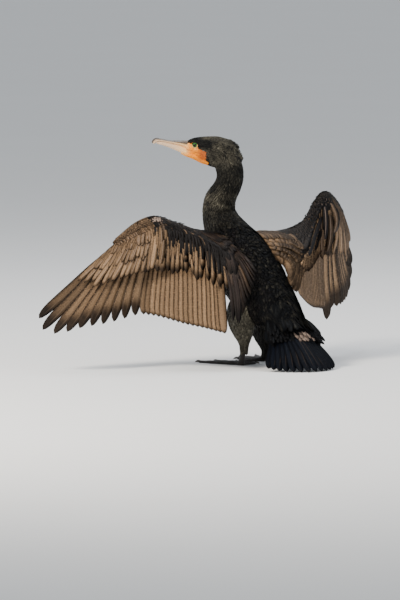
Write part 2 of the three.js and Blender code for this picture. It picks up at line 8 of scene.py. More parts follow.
import bpy
import numpy as np
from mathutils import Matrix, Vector


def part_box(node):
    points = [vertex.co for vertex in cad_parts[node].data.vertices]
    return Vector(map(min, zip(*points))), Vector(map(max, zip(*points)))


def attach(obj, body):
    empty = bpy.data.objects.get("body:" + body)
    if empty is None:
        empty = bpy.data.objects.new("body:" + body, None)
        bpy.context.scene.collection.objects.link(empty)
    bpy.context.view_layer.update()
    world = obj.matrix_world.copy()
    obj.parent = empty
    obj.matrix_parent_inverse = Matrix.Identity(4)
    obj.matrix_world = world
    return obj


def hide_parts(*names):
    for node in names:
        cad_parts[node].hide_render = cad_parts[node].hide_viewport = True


bl_info = {
    "name": "Great cormorant",
    "version": (1, 0, 0),
    "blender": (4, 5, 0),
    "location": "3D View > Sidebar > Cormorant",
    "description": "Feathers, bill, eyes and feet of a cormorant drying its wings",
    "category": "Add Mesh",
}

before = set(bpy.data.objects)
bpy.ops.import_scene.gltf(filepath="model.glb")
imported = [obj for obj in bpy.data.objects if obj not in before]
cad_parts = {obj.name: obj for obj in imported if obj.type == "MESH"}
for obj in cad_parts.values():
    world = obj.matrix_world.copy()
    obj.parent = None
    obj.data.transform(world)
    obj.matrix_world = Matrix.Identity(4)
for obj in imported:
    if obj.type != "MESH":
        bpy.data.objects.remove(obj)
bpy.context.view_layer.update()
TAU = 2 * np.pi
METRE = 1000  # in millimetres
UNCOLOURED = (0, 0, 0, 0)

# The camera stands far off with a long lens. Its frame's long side spans so many metres at the bird.
CAMERA_DISTANCE = 20.0
CAMERA_TURN = -32
CAMERA_RISE = 4.5
CAMERA_TARGET = [-101.9, 63.6, 125.2]
FRAME_SPAN = 1.17
SENSOR_WIDTH = 36
FLOOR_REACH = 60.0
FLOOR_DROP = 0.0002  # metres, so that the soles never flicker against the floor

# Sections of the trunk and neck, from the root of the tail to the top of the neck:
# place, half width and half depth
TRUNK = np.array([
    [0, -116, 80, 34, 8],
    [0, -96, 90, 40, 19],
    [0, -62, 102, 52, 38],
    [0, -15, 128, 60, 54],
    [0, 40, 172, 63, 62],
    [0, 90, 213, 59, 57],
    [0, 122, 242, 47, 46],
    [-2, 143, 268, 37, 38],
    [-3, 152, 290, 33, 34],
    [-3, 147, 311, 31, 33],
    [-1, 134, 329, 27, 28.5],
    [3, 124, 348, 27, 26.5],
    [3, 120, 368, 27, 27.5],
    [-3, 122, 388, 26, 27.5],
    [-9, 127.5, 405, 22, 23],
])

# The head, which is turned to the left. Its sections are: along it, top, bottom, half width.
HEAD_HEADING = np.radians(58)
HEAD_CENTRE = np.array([-16.5, 134, 411])
AHEAD = np.array([-np.sin(HEAD_HEADING), np.cos(HEAD_HEADING), 0])
ASIDE = np.array([np.cos(HEAD_HEADING), np.sin(HEAD_HEADING), 0])
UPWARD = np.array([0, 0, 1.0])
BILL_ROOT = 62
BILL_TIP = 127
SKULL = np.array([
    [-44, 0, -18, 9],
    [-37, 7.5, -32, 20],
    [-20, 21, -38, 24],
    [4, 28, -34, 23.5],
    [24, 28.5, -25.5, 20.5],
    [42, 26.5, -17, 17],
    [54, 22.5, -12.5, 13.5],
    [BILL_ROOT, 19, -8.5, 10.5],
])
UPPER_BILL = np.array([
    [BILL_ROOT - 8, 19.5, 2, 9.5],
    [BILL_ROOT + 12, 18.9, 9.4, 7.2],
    [BILL_ROOT + 34, 20, 14.2, 5.6],
    [BILL_ROOT + 50, 23, 16.8, 4.8],
    [BILL_TIP - 6, 24, 15.5, 4],
    [BILL_TIP - 1.5, 20.5, 12.5, 2.4],
    [BILL_TIP, 16, 11, 1],
])
LOWER_BILL = np.array([
    [BILL_ROOT - 12, 0.5, -13.5, 9.4],
    [BILL_ROOT + 10, 9.6, -4.6, 7.6],
    [BILL_ROOT + 32, 15, 4.6, 5.6],
    [BILL_ROOT + 48, 17.6, 10, 4.4],
    [BILL_TIP - 7, 16.4, 12.6, 2.4],
])
THROAT = np.array([
    [18, -18, -29.5, 13],
    [30, -13, -26, 14.5],
    [46, -4, -18, 12.5],
    [BILL_ROOT, -1, -12, 9],
    [BILL_ROOT + 10, -1, -7, 5.5],
])
EYE_PLACE = np.array([44.6, 12.9, 11])
EYE_RADIUS = 5.6
EYE_BEADS = 24  # round the ring of skin
THROAT_FOLDS = 14
CREST_FEATHERS = 70

# The fleshy arm of each wing from inside the shoulder to the end of the hand: leading edge,
# trailing edge and half thickness. Then the tips of the long feathers, and the upper face's side.
WINGS = {
    "left": {
        "side": -1,
        "chords": np.array([
            [-28, 118, 242, -30, 52, 214, 15],
            [-62, 116, 252, -74, 0, 216, 13],
            [-104, 108, 263, -98, -34, 212, 10],
            [-160, 90, 279, -152, 18, 246, 9],
            [-214, 68, 293, -204, 50, 262, 8],
            [-246, 72, 282, -236, 56, 254, 6],
            [-290, 74, 252, -284, 66, 236, 3.5],
        ]),
        "scapulars": [[-30, -18, 205], [-40, -42, 190], [-56, -62, 165], [-84, -78, 128],
                      [-108, -92, 95], [-128, -98, 90]],
        "secondaries": [[-146, -104, 72], [-166, -63, 80], [-191, -30, 87], [-230, 10, 101],
                        [-262, 24, 107]],
        "primaries": [[-272, 22, 106], [-339, 20, 93], [-398, 24, 86], [-440, 44, 75],
                      [-459, 62, 80], [-461, 80, 110]],
        "lift": np.array([-0.2, -0.72, 0.66]),
        "hand_tilt": 0.1,
    },
    "right": {
        "side": 1,
        "chords": np.array([
            [28, 118, 242, 30, 52, 214, 15],
            [62, 112, 248, 74, 0, 214, 13],
            [98, 100, 250, 88, -30, 207, 10],
            [146, 86, 266, 137, 14, 243, 9],
            [186, 74, 326, 184, 52, 296, 8],
            [226, 91, 311, 216, 78, 284, 6],
            [260, 116, 286, 252, 110, 270, 3.5],
        ]),
        "scapulars": [[34, 2, 205], [37, -20, 196], [38, -36, 184], [34, -52, 168],
                      [35, -58, 152], [44, -60, 140]],
        "secondaries": [[50, -60, 136], [88, -28, 116], [132, 16, 103], [165, 48, 98],
                        [198, 83, 92]],
        "primaries": [[210, 94, 67], [226, 104, 91], [255, 119, 95], [292, 157, 99],
                      [324, 193, 107], [342, 211, 128], [337, 201, 172]],
        "lift": np.array([0.35, -0.78, 0.52]),
        "hand_tilt": 0.24,
    },
}

# Width of the long feathers, first and last, on the forearm and on the hand
FLIGHT_WIDTHS = {"left": ((17, 19), (25, 19)), "right": ((17, 25), (34, 27))}
FLIGHT_TILT = 0.17
FLIGHT_SEAT = 0.22  # where on the chord they grow, from its trailing edge

# Rows of the larger coverts, from the lowest up: how many, root and tip depth, and width
FOREARM_COVERTS = [
    (18, (1.04, 1.5), 19),
    (22, (0.96, 1.37), 16),
    (26, (0.88, 1.27), 14),
    (28, (0.8, 1.18), 13),
    (30, (0.76, 1.1), 12.5),
    (32, (0.7, 1.02), 12),
]
HAND_COVERTS = [
    (15, (0.75, 1.5), 13),
    (18, (0.62, 1.32), 11),
    (22, (0.5, 1.14), 10),
    (26, (0.4, 0.97), 9),
]
SMALL_COVERT_ROWS = 11
UNDER_COVERT_ROWS = 6
EDGE_COVERTS = 70

# Rows of scapulars, from the lowest up: root and tip depth, and how high the tips lie
SCAPULARS_IN_ROW = 13
SCAPULAR_ROWS = [
    (0.8, 2.0, 0.5),
    (0.7, 1.7, 2),
    (0.6, 1.42, 3.5),
    (0.45, 1.18, 4.5),
    (0.3, 0.95, 5),
    (0.15, 0.75, 5),
]

TAIL_FEATHERS = 14
TAIL_LENGTH = 152
TAIL_SPREAD = 38
TAIL_TURN = -8
TAIL_COVERT_ROWS = 5
TAIL_COVERTS_IN_ROW = 13

# Reach of each toe and its angle out from straight ahead, then its joints
TOES = {"hind": (36, -82), "inner": (58, -24), "middle": (84, 2), "outer": (96, 24)}
TOE_JOINTS = {"hind": 1, "inner": 2, "middle": 3, "outer": 4}
BALL_RADIUS = 8.4
BALL_HEIGHT = 3.2
CLAW_RUN = np.array([0, 4, 8.5, 11])
CLAW_HEIGHTS = [3, 3.4, 2.2, 0.9]
CLAW_SIZES = np.array([2.6, 2.2, 1.5, 0.7])
LEGS = {
    "left": {"side": -1, "foot": (-48, 0), "ankle": 52},
    "right": {"side": 1, "foot": (40, 58), "ankle": 33},
}
ANKLE_SETBACK = 12

# The square parts of the shared colour map: left, bottom, width, height
MAP_PLACES = {
    "trunk": (0.01, 0.01, 0.46, 0.46),
    "head": (0.01, 0.51, 0.22, 0.22),
    "thigh_left": (0.26, 0.51, 0.2, 0.2),
    "thigh_right": (0.26, 0.74, 0.2, 0.2),
    "wing_left": (0.51, 0.01, 0.46, 0.46),
    "wing_right": (0.51, 0.51, 0.46, 0.46),
    "tail": (0.01, 0.76, 0.22, 0.22),
}


# Curves and surfaces

def spline(points, share):
    """Points on a smooth curve through the given points, at shares from 0 to 1.

    Each stretch is a cubic whose end slopes are those of a centripetal Catmull-Rom curve: the
    knots lie apart by the square root of the distance between the points.
    """
    points = np.asarray(points, float)
    first = 2 * points[0] - points[1]
    last = 2 * points[-1] - points[-2]
    padded = np.vstack([first, points, last])
    place = np.clip(np.asarray(share, float), 0, 1) * (len(points) - 1)
    index = np.minimum(place.astype(int), len(points) - 2)
    w = (place - index)[..., None]
    a, b, c, d = (padded[index + k] for k in range(4))
    knots = [np.sqrt(np.linalg.norm(q - p, axis=-1))[..., None] for p, q in ((a, b), (b, c), (c, d))]
    k0, k1, k2 = (np.maximum(k, 1e-4) for k in knots)
    slope_b = ((b - a) / k0 - (c - a) / (k0 + k1) + (c - b) / k1) * k1
    slope_c = ((c - b) / k1 - (d - b) / (k1 + k2) + (d - c) / k2) * k1
    cubic = 2 * b - 2 * c + slope_b + slope_c
    square = -3 * b + 3 * c - 2 * slope_b - slope_c
    return b + slope_b * w + square * w ** 2 + cubic * w ** 3


def even_spline(points, share):
    """The same curve at shares of its length instead of its points."""
    fine = np.linspace(0, 1, 200)
    line = spline(points, fine)
    length = np.append(0, np.cumsum(np.linalg.norm(np.diff(line, axis=0), axis=1)))
    return spline(points, np.interp(np.asarray(share) * length[-1], length, fine))


def unit(v):
    return v / np.maximum(np.linalg.norm(v, axis=-1, keepdims=True), 1e-9)


def soft_step(low, high, x):
    """0 below low and 1 above high, with the cubic 3w^2 - 2w^3 between them."""
    w = np.clip((x - low) / (high - low), 0, 1)
    return w * w * (3 - 2 * w)


class Tube:
    """A body of oval sections: point(t, turn) = centre(t) + side cos(turn) wide + up sin(turn) deep."""

    def __init__(self, places, sizes, across=(1, 0, 0)):
        self.places = np.asarray(places, float)
        count = np.arange(len(self.places))
        self.sizes = np.column_stack([count, sizes])
        self.across = np.asarray(across, float)

    def axes(self, t):
        step = 0.002
        along = unit(spline(self.places, t + step) - spline(self.places, t - step))
        side = unit(self.across - along * (along @ self.across)[..., None])
        return along, side, np.cross(along, side)

    def speed(self, t):
        """Millimetres along the centre line for each unit of t."""
        step = 0.004
        ahead = spline(self.places, np.minimum(t + step, 1))
        behind = spline(self.places, np.maximum(t - step, 0))
        return np.linalg.norm(ahead - behind, axis=-1) / (2 * step)

    def point(self, t, turn, grow=0.0):
        t = np.asarray(t, float)
        turn = np.asarray(turn, float)
        size = spline(self.sizes, t)
        along, side, up = self.axes(t)
        wide = (size[..., 1] + grow) * np.cos(turn)
        deep = (size[..., 2] + grow) * np.sin(turn)
        return spline(self.places, t) + side * wide[..., None] + up * deep[..., None]


def head_place(x, y, z):
    """A place on the head: x ahead, y to its right, z up, from the head's centre."""
    x, y, z = (np.asarray(v, float)[..., None] for v in (x, y, z))
    return HEAD_CENTRE + AHEAD * x + ASIDE * y + UPWARD * z


def head_tube(sections):
    middle = (sections[:, 1] + sections[:, 2]) / 2
    places = head_place(sections[:, 0], np.zeros(len(sections)), middle)
    sizes = np.column_stack([sections[:, 3], (sections[:, 1] - sections[:, 2]) / 2])
    return Tube(places, sizes, ASIDE)


def thigh_tube(leg):
    x, y = leg["foot"]
    ankle = leg["ankle"]
    places = [
        [leg["side"] * 30, y + 2, 136],
        [x, y - 2, ankle + 54],
        [x, y - 7, ankle + 28],
        [x, y - 10, ankle + 9],
        [x, y - 12, ankle - 5],
        [x, y - ANKLE_SETBACK, ankle - 16],
    ]
    return Tube(places, [[22, 34], [26, 37], [25, 34], [19, 25], [12, 15], [7.5, 9.5]])


TRUNK_TUBE = Tube(TRUNK[:, :3], TRUNK[:, 3:])
SKULL_TUBE = head_tube(SKULL)


# Meshes

def frame_shift():
    """Millimetres from the bird's own origin to that of the solids, read off the left eye's node."""
    low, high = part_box("eye_left")
    eye = head_place(EYE_PLACE[0], -EYE_PLACE[1], EYE_PLACE[2])
    return (np.array(low) + np.array(high)) / 2 * METRE - eye


SHIFT = frame_shift()


class Shell:
    """Vertices and four-sided faces, with two UVs and a colour for each vertex."""

    def __init__(self, points, faces, uv, bake, colour):
        self.points = points.reshape(-1, 3)
        self.faces = faces.reshape(-1, 4)
        self.uv = uv.reshape(-1, 2)
        self.bake = bake.reshape(-1, 2)
        self.colour = colour.reshape(-1, 4)


def joined(shells):
    start = np.cumsum([0] + [len(s.points) for s in shells[:-1]])
    return Shell(
        np.vstack([s.points for s in shells]),
        np.vstack([s.faces + n for s, n in zip(shells, start)]),
        np.vstack([s.uv for s in shells]),
        np.vstack([s.bake for s in shells]),
        np.vstack([s.colour for s in shells]),
    )


def turn_grid(rows, around):
    """Turns spread evenly round a tube, the same in each row of a grid."""
    return np.arange(around)[None, :] * TAU / around * np.ones((rows, 1))


def above_floor(shell):
    """The same shell with whatever is below the floor brought up to it."""
    shell.points[:, 2] = np.maximum(shell.points[:, 2], 0)
    return shell


def ring_faces(rows, around, closed_ends=True):
    """Four-sided faces of a closed tube of rings, with its two ends filled by strips of faces."""
    i, k = np.meshgrid(np.arange(rows - 1), np.arange(around), indexing="ij")
    n = (k + 1) % around
    sides = np.stack([i * around + k, i * around + n, (i + 1) * around + n, (i + 1) * around + k], -1)
    faces = [sides.reshape(-1, 4)]
    if closed_ends:
        j = np.arange(around // 2 - 1)
        strip = np.stack([j, around - 1 - j, around - 2 - j, j + 1], -1)
        faces.append(strip)
        faces.append(strip[:, ::-1] + (rows - 1) * around)
    return np.vstack(faces)


def add_piece(name, shell, material, replaced=()):
    mesh = bpy.data.meshes.new(name)
    points = (shell.points + SHIFT) / METRE
    mesh.vertices.add(len(points))
    mesh.vertices.foreach_set("co", points.astype(np.float32).ravel())
    mesh.loops.add(shell.faces.size)
    mesh.loops.foreach_set("vertex_index", shell.faces.astype(np.int32).ravel())
    mesh.polygons.add(len(shell.faces))
    mesh.polygons.foreach_set("loop_start", np.arange(len(shell.faces), dtype=np.int32) * 4)
    mesh.update(calc_edges=True)
    mesh.polygons.foreach_set("use_smooth", np.full(len(shell.faces), True))
    for layer, values in (("Feather", shell.uv), ("OFBake", shell.bake)):
        data = mesh.uv_layers.new(name=layer).data
        data.foreach_set("uv", values[shell.faces.ravel()].astype(np.float32).ravel())
    colour = mesh.color_attributes.new("Plumage", "FLOAT_COLOR", "POINT")
    colour.data.foreach_set("color", shell.colour.astype(np.float32).ravel())
    mesh.validate()
    mesh.materials.append(material)
    thing = bpy.data.objects.new(name, mesh)
    bpy.context.scene.collection.objects.link(thing)
    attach(thing, "root")
    if replaced:
        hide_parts(*replaced)
    return thing


def map_place(part, u, v):
    """Corner values of the shared colour map for a place (u, v), each 0 to 1, on one part."""
    left, bottom, wide, high = MAP_PLACES[part]
    return np.stack([left + wide * np.clip(u, 0, 1), bottom + high * np.clip(v, 0, 1)], -1)


def tube_shell(tube, rows, around, colour, part, grow=0.0, shape=None):
    """A tube's surface as a closed shell. shape(t, turn) may give a factor on its size."""
    t = np.linspace(0, 1, rows)[:, None] * np.ones(around)
    turn = turn_grid(rows, around)
    points = tube.point(t, turn, grow)
    if shape is not None:
        centre = spline(tube.places, t)
        points = centre + (points - centre) * shape(t, turn)[..., None]
    uv = np.stack([turn / TAU, t], -1)
    bake = map_place(part, np.abs(turn / np.pi - 1), t)
    tint = colour(points) if callable(colour) else np.ones((rows, around, 1)) * np.asarray(colour)
    return Shell(points, ring_faces(rows, around), uv, bake, tint)


# Feathers

SMALL_SECTION = np.array([[-1, 0], [0, 1], [1, 0], [0, -0.4]])
LONG_SECTION = np.array([
    [-1, 0], [-0.5, 0.5], [-0.07, 0.62], [0, 1.6], [0.07, 0.62], [0.5, 0.5],
    [1, 0], [0.5, -0.3], [0, -1.2], [-0.5, -0.3],
])


def feather_shell(root, tip, lift, width, colour, bake, *, bow=0.0, tilt=0.0, camber=0.03,
                  thick=0.35, rows=5, shaft=0.0, blunt=5.0, narrow=0.35, section=SMALL_SECTION):
    """Many feathers at once, each a thin closed blade from root to tip.

    At a share t of the length its half width is width / 2 times (narrow + (1 - narrow) sin(pi/2
    min(1, 2.6t))) times (1 - t^blunt)^0.6. The middle rises by bow 4t(1 - t), the edges droop by
    camber times the width times the square of the place across, and the blade turns by tilt about
    its shaft, which lies off the middle by shaft.
    """
    count = len(root)
    t = 1 - (1 - np.linspace(0, 1, rows)) ** 1.35
    width, bow, tilt = (np.broadcast_to(v, count)[:, None, None] for v in (width, bow, tilt))
    along = tip - root
    side = unit(np.cross(along, lift))
    up = unit(np.cross(side, along))
    share = narrow + (1 - narrow) * np.sin(np.pi / 2 * np.minimum(1, 2.6 * t))
    share = share * np.maximum(1 - t ** blunt, 0) ** 0.6 + 0.012
    c = section[:, 0]
    place = np.where(c < 0, c * (1 - shaft), c * (1 + shaft)) + 0 * c
    x = width / 2 * share[None, :, None] * place[None, None, :]
    taper = (1 - 0.65 * t)[None, :, None]
    z = thick * taper * section[:, 1][None, None, :] - camber * width * place ** 2 * share[None, :, None]
    root, along, side, up = (v[:, None, None, :] for v in (root, along, side, up))
    cosine = np.cos(tilt)[..., None]
    sine = np.sin(tilt)[..., None]
    across = side * cosine + up * sine
    face = up * cosine - side * sine
    line = root + along * t[None, :, None, None]
    line = line + up * (bow * (4 * t * (1 - t))[None, :, None])[..., None]
    points = line + across * x[..., None] + face * z[..., None]
    around = len(section)
    one = ring_faces(rows, around)
    faces = one[None] + (np.arange(count) * rows * around)[:, None, None]
    u = np.broadcast_to((c + 1) / 2, (count, rows, around))
    v = np.broadcast_to(t[None, :, None], (count, rows, around))
    uv = np.stack([u, v], -1)
    patch = (uv - 0.5) * 0.003
    bake = bake[:, None, None, :] + patch
    tint = np.broadcast_to(colour[:, None, None, :], (count, rows, around, 4))
    return Shell(points, faces[..., ::-1], uv, bake, tint)


def tube_coat(tube, part, rng, colour, *, span, step, apart, length, width, depth, keep=None,
              small=None, **look):
    """Feathers set in staggered rows round a tube, pointing to its start.

    Row i lies step millimetres on from row i - 1, with a feather every apart millimetres round it.
    A root lies depth under the surface and the tip on it, length nearer to the start. The sizes
    are shrunk by small(t), if given.
    """
    rows = []
    small = small or (lambda t: 1.0)
    t = span[1]
    i = 0
    while t > span[0]:
        size = spline(tube.sizes, np.array([t]))[0]
        shrink = small(t)
        around = max(6, int(TAU * np.sqrt((size[1] ** 2 + size[2] ** 2) / 2) / (apart * shrink)))
        turn = (np.arange(around) + 0.5 * (i % 2)) * TAU / around
        rows.append(np.column_stack([np.full(around, t), turn]))
        t -= step * shrink / tube.speed(np.array([t]))[0]
        i += 1
    t, turn = np.vstack(rows).T
    count = len(t)
    turn = turn + rng.normal(0, 0.25 * apart / 40, count)
    size = (1 + rng.normal(0, 0.1, count)) * small(t)
    lie = rng.normal(0, 0.05, count)
    reach = length * size / tube.speed(t)
    root = tube.point(t, turn, -depth)
    tip_t = t - reach
    tip = tube.point(np.maximum(tip_t, 0), turn + lie, -0.3)
    past = np.minimum(tip_t, 0)
    along, _, _ = tube.axes(np.zeros(1))
    tip = tip + along * (past * tube.speed(np.zeros(count) + 0.01))[:, None]
    lift = unit(tube.point(t, turn, 2) - tube.point(t, turn, 0))
    good = np.ones(count, bool) if keep is None else keep(root, tip, t, turn)
    root, tip, lift, t, turn, size = (a[good] for a in (root, tip, lift, t, turn, size))
    tint = colour(root, t, turn, rng)
    bake = map_place(part, np.abs(turn % TAU / np.pi - 1), t)
    return feather_shell(root, tip, lift, width * size, tint, bake, **look)


def wing_field(wing, s, eased=False):
    """Leading edge, trailing edge, half thickness, upper face and feather tips at s from 0 to 3.

    The whole part of s is the node, from the upper arm to the hand, and the rest is the share of it.
    eased draws the lines of tips on both sides of the wrist into one.
    """
    chords = wing["chords"]
    node = np.minimum(s.astype(int), 2)
    whole = s / 3
    front = spline(chords[:, :3], whole)
    back = spline(chords[:, 3:6], whole)
    half = spline(np.column_stack([np.arange(7), chords[:, 6], np.zeros(7)]), whole)[..., 1]
    step = 0.012
    run = spline(chords[:, 3:6], whole + step) + spline(chords[:, :3], whole + step)
    run = run - spline(chords[:, 3:6], whole - step) - spline(chords[:, :3], whole - step)
    lift = unit(np.cross(front - back, run))
    lift = np.where((lift @ wing["lift"])[..., None] < 0, -lift, lift)
    kinds = ("scapulars", "secondaries", "primaries")
    lines = [even_spline(wing[kind], np.clip(s - n, 0, 1)) for n, kind in enumerate(kinds)]
    tip = np.choose(node[..., None], lines)
    if eased:
        joined_tip = lines[1] + (lines[2] - lines[1]) * soft_step(1.8, 2.2, s)[..., None]
        tip = np.where(s[..., None] > 1.5, joined_tip, tip)
    return front, back, half, lift, tip


def wing_place(wing, s, q, height, face=1):
    """A place on the wing: q is 0 at the leading edge, 1 at the trailing edge of the flesh and 2 at
    the feather tips. Over the flesh it rises by the root of 1 - (2 seat - 1)^2 times the half
    thickness, and over the long feathers by an arch of 4r(1 - r). face is -1 for the underside."""
    front, back, half, lift, tip = wing_field(wing, s, True)
    seat = 1 - 0.9 * np.minimum(q, 1)
    flesh = back + (front - back) * seat[..., None]
    rise = half * np.sqrt(np.maximum(1 - (2 * seat - 1) ** 2, 0))
    r = np.maximum(q - 1, 0)
    arch = 7 * 4 * r * (1 - r) * face
    place = flesh + (tip - flesh) * r[..., None]
    up = rise * (1 - r) + arch + height
    return place + lift * (face * up)[..., None], lift * face


def lean(wing, s):
    """How far feathers turn about their shafts, their outer edge up: more on some hands."""
    return -wing["side"] * (0.09 + (wing["hand_tilt"] - 0.09) * soft_step(1.85, 2.15, s))


def covert_row(wing, name, rng, colour, span, count, q, width, height, face=1, bow=1.0, shift=0.0,
               **look):
    """A row of coverts from q[0] to q[1] of the wing's depth, evenly spread over the span of s.

    Each is bowed by bow more than the wing's surface is between its root and its tip. shift moves
    the row by a share of the distance from feather to feather.
    """
    step = (span[1] - span[0]) / count
    s = np.linspace(*span, count) + (rng.normal(0, 0.12, count) + shift) * step
    s = np.clip(s, 0.001, 2.999)
    end = np.clip(s + rng.normal(0, 0.22, count) * step, 0.001, 2.999)
    stretch = rng.normal(0, 0.02, count)
    ones = np.ones(count)
    root, lift = wing_place(wing, s, q[0] * ones, height[0] * ones, face)
    tip, _ = wing_place(wing, end, q[1] * ones + stretch, height[1] * ones, face)
    middle, _ = wing_place(wing, s, (q[0] + q[1]) / 2 * ones, (height[0] + height[1]) / 2 * ones, face)
    rise = ((middle - (root + tip) / 2) * lift).sum(-1)
    part = np.full(count, 0.25 * q[0]) if face > 0 else np.full(count, 0.5 + 0.25 * q[0])
    bake = map_place("wing_" + name, s / 3, part)
    tint = colour(s, q[0] * ones, rng)
    wide = width * (1 + rng.normal(0, 0.08, count))
    return feather_shell(root, tip, lift, wide, tint, bake, bow=np.maximum(rise, -2) + bow,
                         tilt=lean(wing, s) * face, **look)


# Colours

def tinted(colours, spread, rng, edge):
    """One colour for each feather, a little lighter or darker, with the strength of its dark edge."""
    shade = np.exp(rng.normal(0, spread, len(colours)))[:, None]
    return np.column_stack([colours[:, :3] * shade, np.broadcast_to(edge, len(colours))])


def looks():
    return bpy.context.scene.cormorant_looks


def measures():
    return bpy.context.scene.cormorant_sizes


def shade(name):
    return np.array(getattr(looks(), name))[:3]


def blend(a, b, share):
    return a + (b - a) * share[:, None]


def patches(points, size):
    """A slow pattern from 0 to 1 over places in millimetres: three sine waves, size apart."""
    ways = np.array([[0.8, 0.35, 0.5], [-0.45, 0.85, 0.3], [0.3, -0.5, 0.85]])
    waves = np.sin(points @ ways.T * TAU / size + [0.0, 1.7, 3.9])
    waves = waves + 0.6 * np.sin(points @ ways[:, ::-1].T * TAU / (0.43 * size) + [2.1, 0.4, 5.0])
    return np.clip(0.5 + 0.22 * waves.sum(-1), 0, 1)


def mottled(colour, other, share, points, rng):
    """One colour drawn towards the other by share, most where patches are high, with small noise."""
    draw = share * (0.1 + 1.1 * patches(points, 30)) + rng.normal(0, 0.12, len(points))
    return blend(colour, other, np.clip(draw, 0, 1))


def trunk_colour(root, t, turn, rng):
    """Black on the body, purple-brown over the left shoulder blade, brown-black up the neck.

    The neck has olive patches, most of all low down and under the head.
    """
    neck = soft_step(0.38, 0.54, t)
    z = root[:, 2]
    colour = blend(shade("body"), shade("neck"), neck)
    blade = soft_step(-8, -30, root[:, 0]) * soft_step(0.12, 0.2, t) * soft_step(0.5, 0.42, t)
    colour = blend(colour, shade("scapular")[None], 0.3 * blade * rng.random(len(root)))
    low = soft_step(285, 310, z) * soft_step(350, 325, z)
    olive = 0.12 + 0.55 * low + 0.6 * soft_step(378, 398, z)
    colour = mottled(colour, shade("fleck"), olive * neck, root, rng)
    return tinted(colour, 0.12 + 0.12 * neck, rng, 0.35 - 0.25 * neck)


def head_colour(root, t, turn, rng):
    """Olive-grey on brown-black, with a black band from the brow back over the ear, and paler towards the
    crown as painted light from above.
    """
    x, z = on_face(root)
    band = soft_step(10, 22, x) * soft_step(24, 19, z) * soft_step(2, 8, z)
    front = soft_step(36, 50, x) * soft_step(4, 10, z)
    ear = np.exp(-((x + 14) / 9) ** 2 - ((z + 24) / 11) ** 2)
    behind = np.exp(-((x - 12) / 7) ** 2 - ((z + 10) / 9) ** 2)
    dark = np.clip(band + front + ear + 0.7 * behind, 0, 1)
    colour = mottled(np.broadcast_to(shade("neck"), root.shape), shade("fleck"), 0.75, root, rng)
    # Painted light: paler towards the top of the head, where the light falls.
    crown = soft_step(12, 26, z)
    colour = blend(colour, shade("fleck")[None], 0.4 * crown)
    return tinted(blend(colour, shade("body")[None], 0.9 * dark), 0.25, rng, 0.1)


def thigh_colour(root, t, turn, rng):
    """Olive-brown with paler flecks outside. The inside of the left thigh and all of the right thigh are
    darkened nearly to black as painted shade.
    """
    colour = mottled(np.broadcast_to(shade("thigh"), root.shape), shade("fleck"), 0.45, root, rng)
    # Painted shade: the side towards the body, and the whole right thigh, which lies in shadow.
    inner = soft_step(0.3, 0.8, np.cos(turn)) if root[0, 0] < 0 else soft_step(-1.1, -1.05, np.cos(turn))
    return tinted(blend(colour, shade("body")[None], 0.85 * inner), 0.3, rng, 0.4)


def covert_colour(wing):
    """Colours of a wing's coverts: black over the forearm, bronze on the hand, with a black edge.

    The black reaches less far back towards the wrist, and at the front of the right hand it goes on.
    On the left wing the upper arm is black too, and a patch at the front of the wrist is pale.
    """
    left = wing["side"] < 0

    def colour(s, q, rng):
        count = len(s)
        bronze = np.broadcast_to(shade("bronze"), (count, 3))
        pale = 0.7 * soft_step(0.4, 0.75, q) * soft_step(0.95, 1.1, s)
        bronze = blend(bronze, shade("flight")[None], pale)
        wrist = soft_step(2.0, 2.16, s)
        if left:
            depth = 1.0 - 0.08 * soft_step(1.2, 1.5, s) - 0.35 * soft_step(1.78, 1.96, s) - 0.57 * wrist
        else:
            depth = 0.78 - 0.5 * wrist
        deep = q + rng.normal(0, 0.012, count)
        dark = soft_step(depth + 0.02, depth - 0.02, deep)
        if not left:
            dark = dark * soft_step(0.85, 1.0, s)
        dark = dark * np.where(rng.random(count) < 0.06, 0.6, 1)
        tone = blend(bronze, shade("black")[None], dark)
        if left:
            worn = soft_step(1.86, 1.88, s) * soft_step(2.05, 2.03, s) * (q < 0.3) * (q > 0.05)
            tone = blend(tone, shade("patch")[None], worn)
        return tinted(tone, 0.22, rng, 1.0)

    return colour


def scapular_colour(s, q, rng):
    """Dark bronze near the body, with single feathers of a warmer one, and a black edge."""
    bronze = np.broadcast_to(shade("scapular"), (len(s), 3))
    return tinted(blend(bronze, shade("bronze")[None], 0.7 * rng.random(len(s)) ** 3), 0.2, rng, 0.8)


def tertial_colour(s, q, rng):
    """Bronze with buff feathers among them, for the wing whose upper arm is in the light."""
    bronze = np.broadcast_to(shade("bronze"), (len(s), 3))
    return tinted(blend(bronze, shade("flight")[None], rng.random(len(s)) * 0.9), 0.2, rng, 0.65)


def flight_colour(wing):
    """Colours of a wing's long feathers: tan-brown, some redder, darker at the end of the hand. On the
    right wing they are 1.5 times lighter, which is painted sunlight.
    """
    # Painted sunlight: the right wing's colours are raised by half again.
    light = 1 if wing["side"] < 0 else 1.5

    def colour(s, q, rng):
        pale = np.broadcast_to(shade("flight") * light, (len(s), 3))
        mixed = blend(pale, shade("bronze")[None] * light, rng.random(len(s)) * 0.5)
        mixed = blend(mixed, shade("rim")[None], 0.45 * soft_step(2.6, 3.0, s))
        return tinted(mixed, 0.12, rng, 0.9)

    return colour


# Materials

